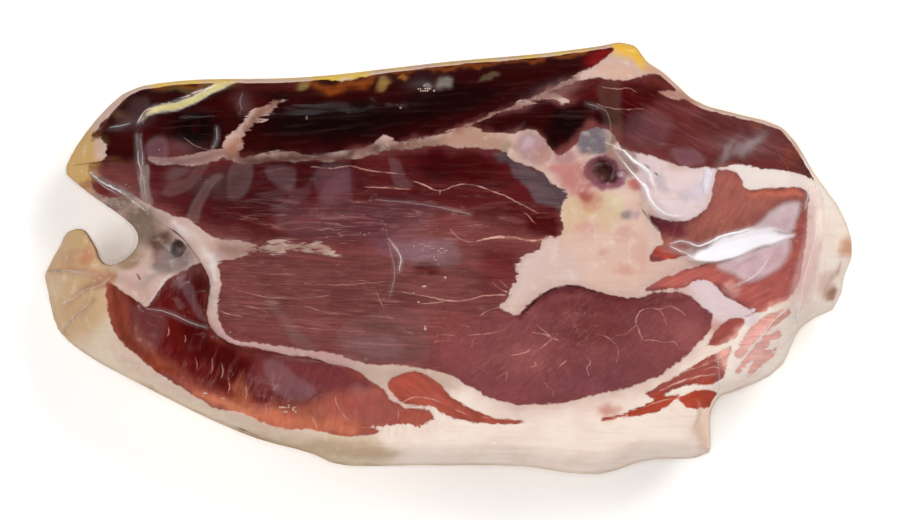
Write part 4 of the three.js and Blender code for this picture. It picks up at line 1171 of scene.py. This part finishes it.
def film_finish():
    """Clear glossy film: it shows by its reflections, as grey-white haze at folds, and by painted
    glare.
    """
    finish = Finish("clear film")
    place = finish.node("TexCoord", output="Object")
    waves = finish.noise(place, 30, 2, 0.45, 0.6)
    creases = finish.noise(finish.stretched(place, (60, 150, 60)), 1.0, 3, 0.5, 1.2)
    bump = finish.bump(waves, 0.0022, 0.5)
    bump = finish.bump(creases, 0.0004, 0.5, bump)
    # painted glare and the film's milkiness
    haze_and_glare_shown = finish.kept("haze_and_glare")
    haze_and_glare_shown = haze_and_glare_shown * (0.55 + finish.noise(place, 120, 3, 0.6) * 0.9).most((haze_and_glare_shown - 0.5) * 3)
    wander = (finish.noise(place, 200, 2, 0.5) - 0.5) * 0.8
    broken = finish.noise(place, 130, 2, 0.5).above(0.25, 0.5)
    # thin white lines on the fold edges: whitened film with painted highlights
    edges = finish.lines("fold", fold_layers, wander, 0.22) * (0.3 + broken * 0.7)
    edges = edges * finish.kept("top").above(0.15, 0.5)
    haze_glare_and_fold_lines = haze_and_glare_shown.most(edges * 1.05)
    glint = finish.node("Fresnel", {"IOR": 1.4, "Normal": bump}).least(GLINT_MOST)
    solid = (haze_glare_and_fold_lines + glint).least(OPAQUE_MOST)
    clear = finish.node("BsdfTransparent", {"Color": (1, 1, 1, 1)})
    gloss = finish.node("BsdfPrincipled", {
        "Base Color": finish.kept("haze_and_glare_colour", "Color"), "Roughness": 0.12,
        "Metallic": 1 - (haze_glare_and_fold_lines / solid).least(1), "IOR": 1.5,
        "Specular IOR Level": 0.5, "Normal": bump})
    return finish.surface(finish.node("MixShader", {0: solid, 1: clear, 2: gloss}))


film.data.materials.append(film_finish())
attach(film, "root")

# The crystals: pale grains of salt and tyrosine that form in the meat as it ages. They lie in small
# groups, half sunk in the cut face, under the film.
CRYSTALS = [
    # how many, their size in mm, middle, spread
    (16, .5, -9.2, 70.6, 2.4, 1.6), (7, .4, -117.6, 65.2, 2, 2), (12, .6, -66, -62.6, 3.2, 1.8),
    (4, .6, -102, -57, 1.4, .6), (3, .5, -93, -58.7, .8, .5), (12, .35, -10, 4.4, 5, 1.4),
    (9, .4, -1.6, 3.2, 2.6, 1.4), (4, .4, -4.6, -.8, 1.2, 1), (3, .6, -9.8, -11.8, .5, .7),
    (2, .7, -12.6, -19.1, .4, .9), (2, .7, -9, -29.2, .5, .6), (1, .6, -1.1, -8.7, .1, .1),
    (1, .4, -14, -14.9, .1, .1), (1, .35, -120.3, 45, .4, .4), (3, .4, -19.7, 62.6, .8, .3),
    (2, .4, -58.8, 58.3, .4, .8), (5, .3, -40, 12, 14, 5),
]
SEED = 7
SPREAD_SHARE = 0.6
FULL_TURN = 6.28
SIZE_FROM, SIZE_TO = 0.5, 1.1
rng = np.random.default_rng(SEED)
upper = np.flatnonzero(facing_up > 0.5)
top = KDTree(len(upper))
for number in upper:
    top.insert((x[number], y[number], 0), int(number))
top.balance()
grains = bmesh.new()
for count, size, cx, cy, spread_x, spread_y in CRYSTALS:
    for _ in range(count):
        gx = cx + spread_x * rng.normal() * SPREAD_SHARE
        gy = cy + spread_y * rng.normal() * SPREAD_SHARE
        where = Matrix.Translation(Vector(ham_places[top.find((gx, gy, 0))[1]]))
        spin = Euler(rng.uniform(0, FULL_TURN, 3)).to_matrix().to_4x4()
        shape = Matrix.Diagonal((*(rng.uniform(SIZE_FROM, SIZE_TO, 3) * size * MM), 1))
        bmesh.ops.create_icosphere(grains, subdivisions=1, radius=1, matrix=where @ spin @ shape)
crystal_mesh = bpy.data.meshes.new("crystals")
grains.to_mesh(crystal_mesh)
grains.free()
crystals = bpy.data.objects.new("crystals", crystal_mesh)
bpy.context.collection.objects.link(crystals)


def crystal_finish():
    """Pale, matt, slightly pink grains."""
    finish = Finish("crystals")
    return finish.surface(finish.node("BsdfPrincipled", {
        "Base Color": rgba((214, 180, 164)), "Roughness": 0.5, "Specular IOR Level": 0.3}))


crystal_mesh.materials.append(crystal_finish())
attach(crystals, "root")

# The floor: the plain white ground that the pack is photographed on. It glows a little, so that it
# stays white round the pack, and the film doesn't mirror it.
FLOOR_HALF = 3.0
FLOOR_CORNERS = [(-1, -1), (1, -1), (1, 1), (-1, 1)]
floor_mesh = bpy.data.meshes.new("floor")
corners = [(FLOOR_HALF * a, FLOOR_HALF * b, 0) for a, b in FLOOR_CORNERS]
floor_mesh.from_pydata(corners, [], [(0, 1, 2, 3)])
floor = bpy.data.objects.new("floor", floor_mesh)
bpy.context.collection.objects.link(floor)
floor.visible_glossy = False


def floor_finish():
    """Matt, nearly white, with a faint mottle."""
    finish = Finish("pale floor")
    place = finish.node("TexCoord", output="Object")
    tone = finish.mix(finish.noise(place, 3, 2, 0.5), (0.93, 0.93, 0.93, 1), (0.96, 0.96, 0.96, 1))
    return finish.surface(finish.node("BsdfPrincipled", {
        "Base Color": tone, "Roughness": 0.9, "Specular IOR Level": 0.1,
        "Emission Color": (1, 1, 1, 1), "Emission Strength": 0.3}))


floor_mesh.materials.append(floor_finish())

# The lights: wide soft lamps that light the meat, and narrow ones that show as streaks in the film.
# They stand round the pack and look at the middle of its cut face.
TARGET = Vector((0, 0, 0.05))


def softbox(name, place, size, power, mirrored=False):
    """A soft lamp. The film mirrors only the narrow ones, so that it stays clear elsewhere."""
    light = bpy.data.lights.new(name, "AREA")
    light.shape = "RECTANGLE"
    light.size, light.size_y = size
    light.energy = power
    lamp = bpy.data.objects.new(name, light)
    bpy.context.collection.objects.link(lamp)
    lamp.visible_glossy = mirrored
    lamp.location = place
    lamp.rotation_euler = (TARGET - Vector(place)).to_track_quat("-Z", "Y").to_euler()


# name, place, width and length, power in watts
softbox("key light", (0.75, 0.75, 1.15), (0.9, 0.7), 16)
softbox("fill light", (-1.1, 0.1, 1.0), (1.0, 0.8), 10)
softbox("front light", (0.1, -1.2, 0.9), (1.2, 0.6), 7.6)
softbox("right strip", (1.0, 0.25, 1.0), (0.9, 0.07), 1.2, True)
softbox("left strip", (-0.8, 0.5, 1.2), (0.8, 0.06), 1.0, True)
softbox("front strip", (0.2, -0.9, 1.1), (0.9, 0.05), 0.8, True)
softbox("top light", (-0.25, 0.35, 1.6), (0.35, 0.35), 0.5, True)

WORLD_GLOW = 0.05
world = bpy.data.worlds.new("studio air")
world.use_nodes = True
background = world.node_tree.nodes["Background"]
background.inputs["Color"].default_value = (1, 1, 1, 1)
background.inputs["Strength"].default_value = WORLD_GLOW
bpy.context.scene.world = world
bpy.context.scene.view_settings.view_transform = "Standard"

# The camera looks straight down on the cut face, from far off, so that the sides don't show. The
# picture is as wide as the photo's, at the height of the cut face.
PICTURE_WIDTH = 374.5 * MM
PICTURE_MIDDLE = (1.05 * MM, -1.05 * MM)
FACE_HEIGHT = 62 * MM
SENSOR, LENS = 36.0, 500.0
FARTHEST = 20
camera_data = bpy.data.cameras.new("camera")
camera_data.sensor_width = SENSOR
camera_data.lens = LENS
camera_data.clip_end = FARTHEST
camera = bpy.data.objects.new("camera", camera_data)
bpy.context.collection.objects.link(camera)
camera.location = (*PICTURE_MIDDLE, FACE_HEIGHT + PICTURE_WIDTH * LENS / SENSOR)
bpy.context.scene.camera = camera
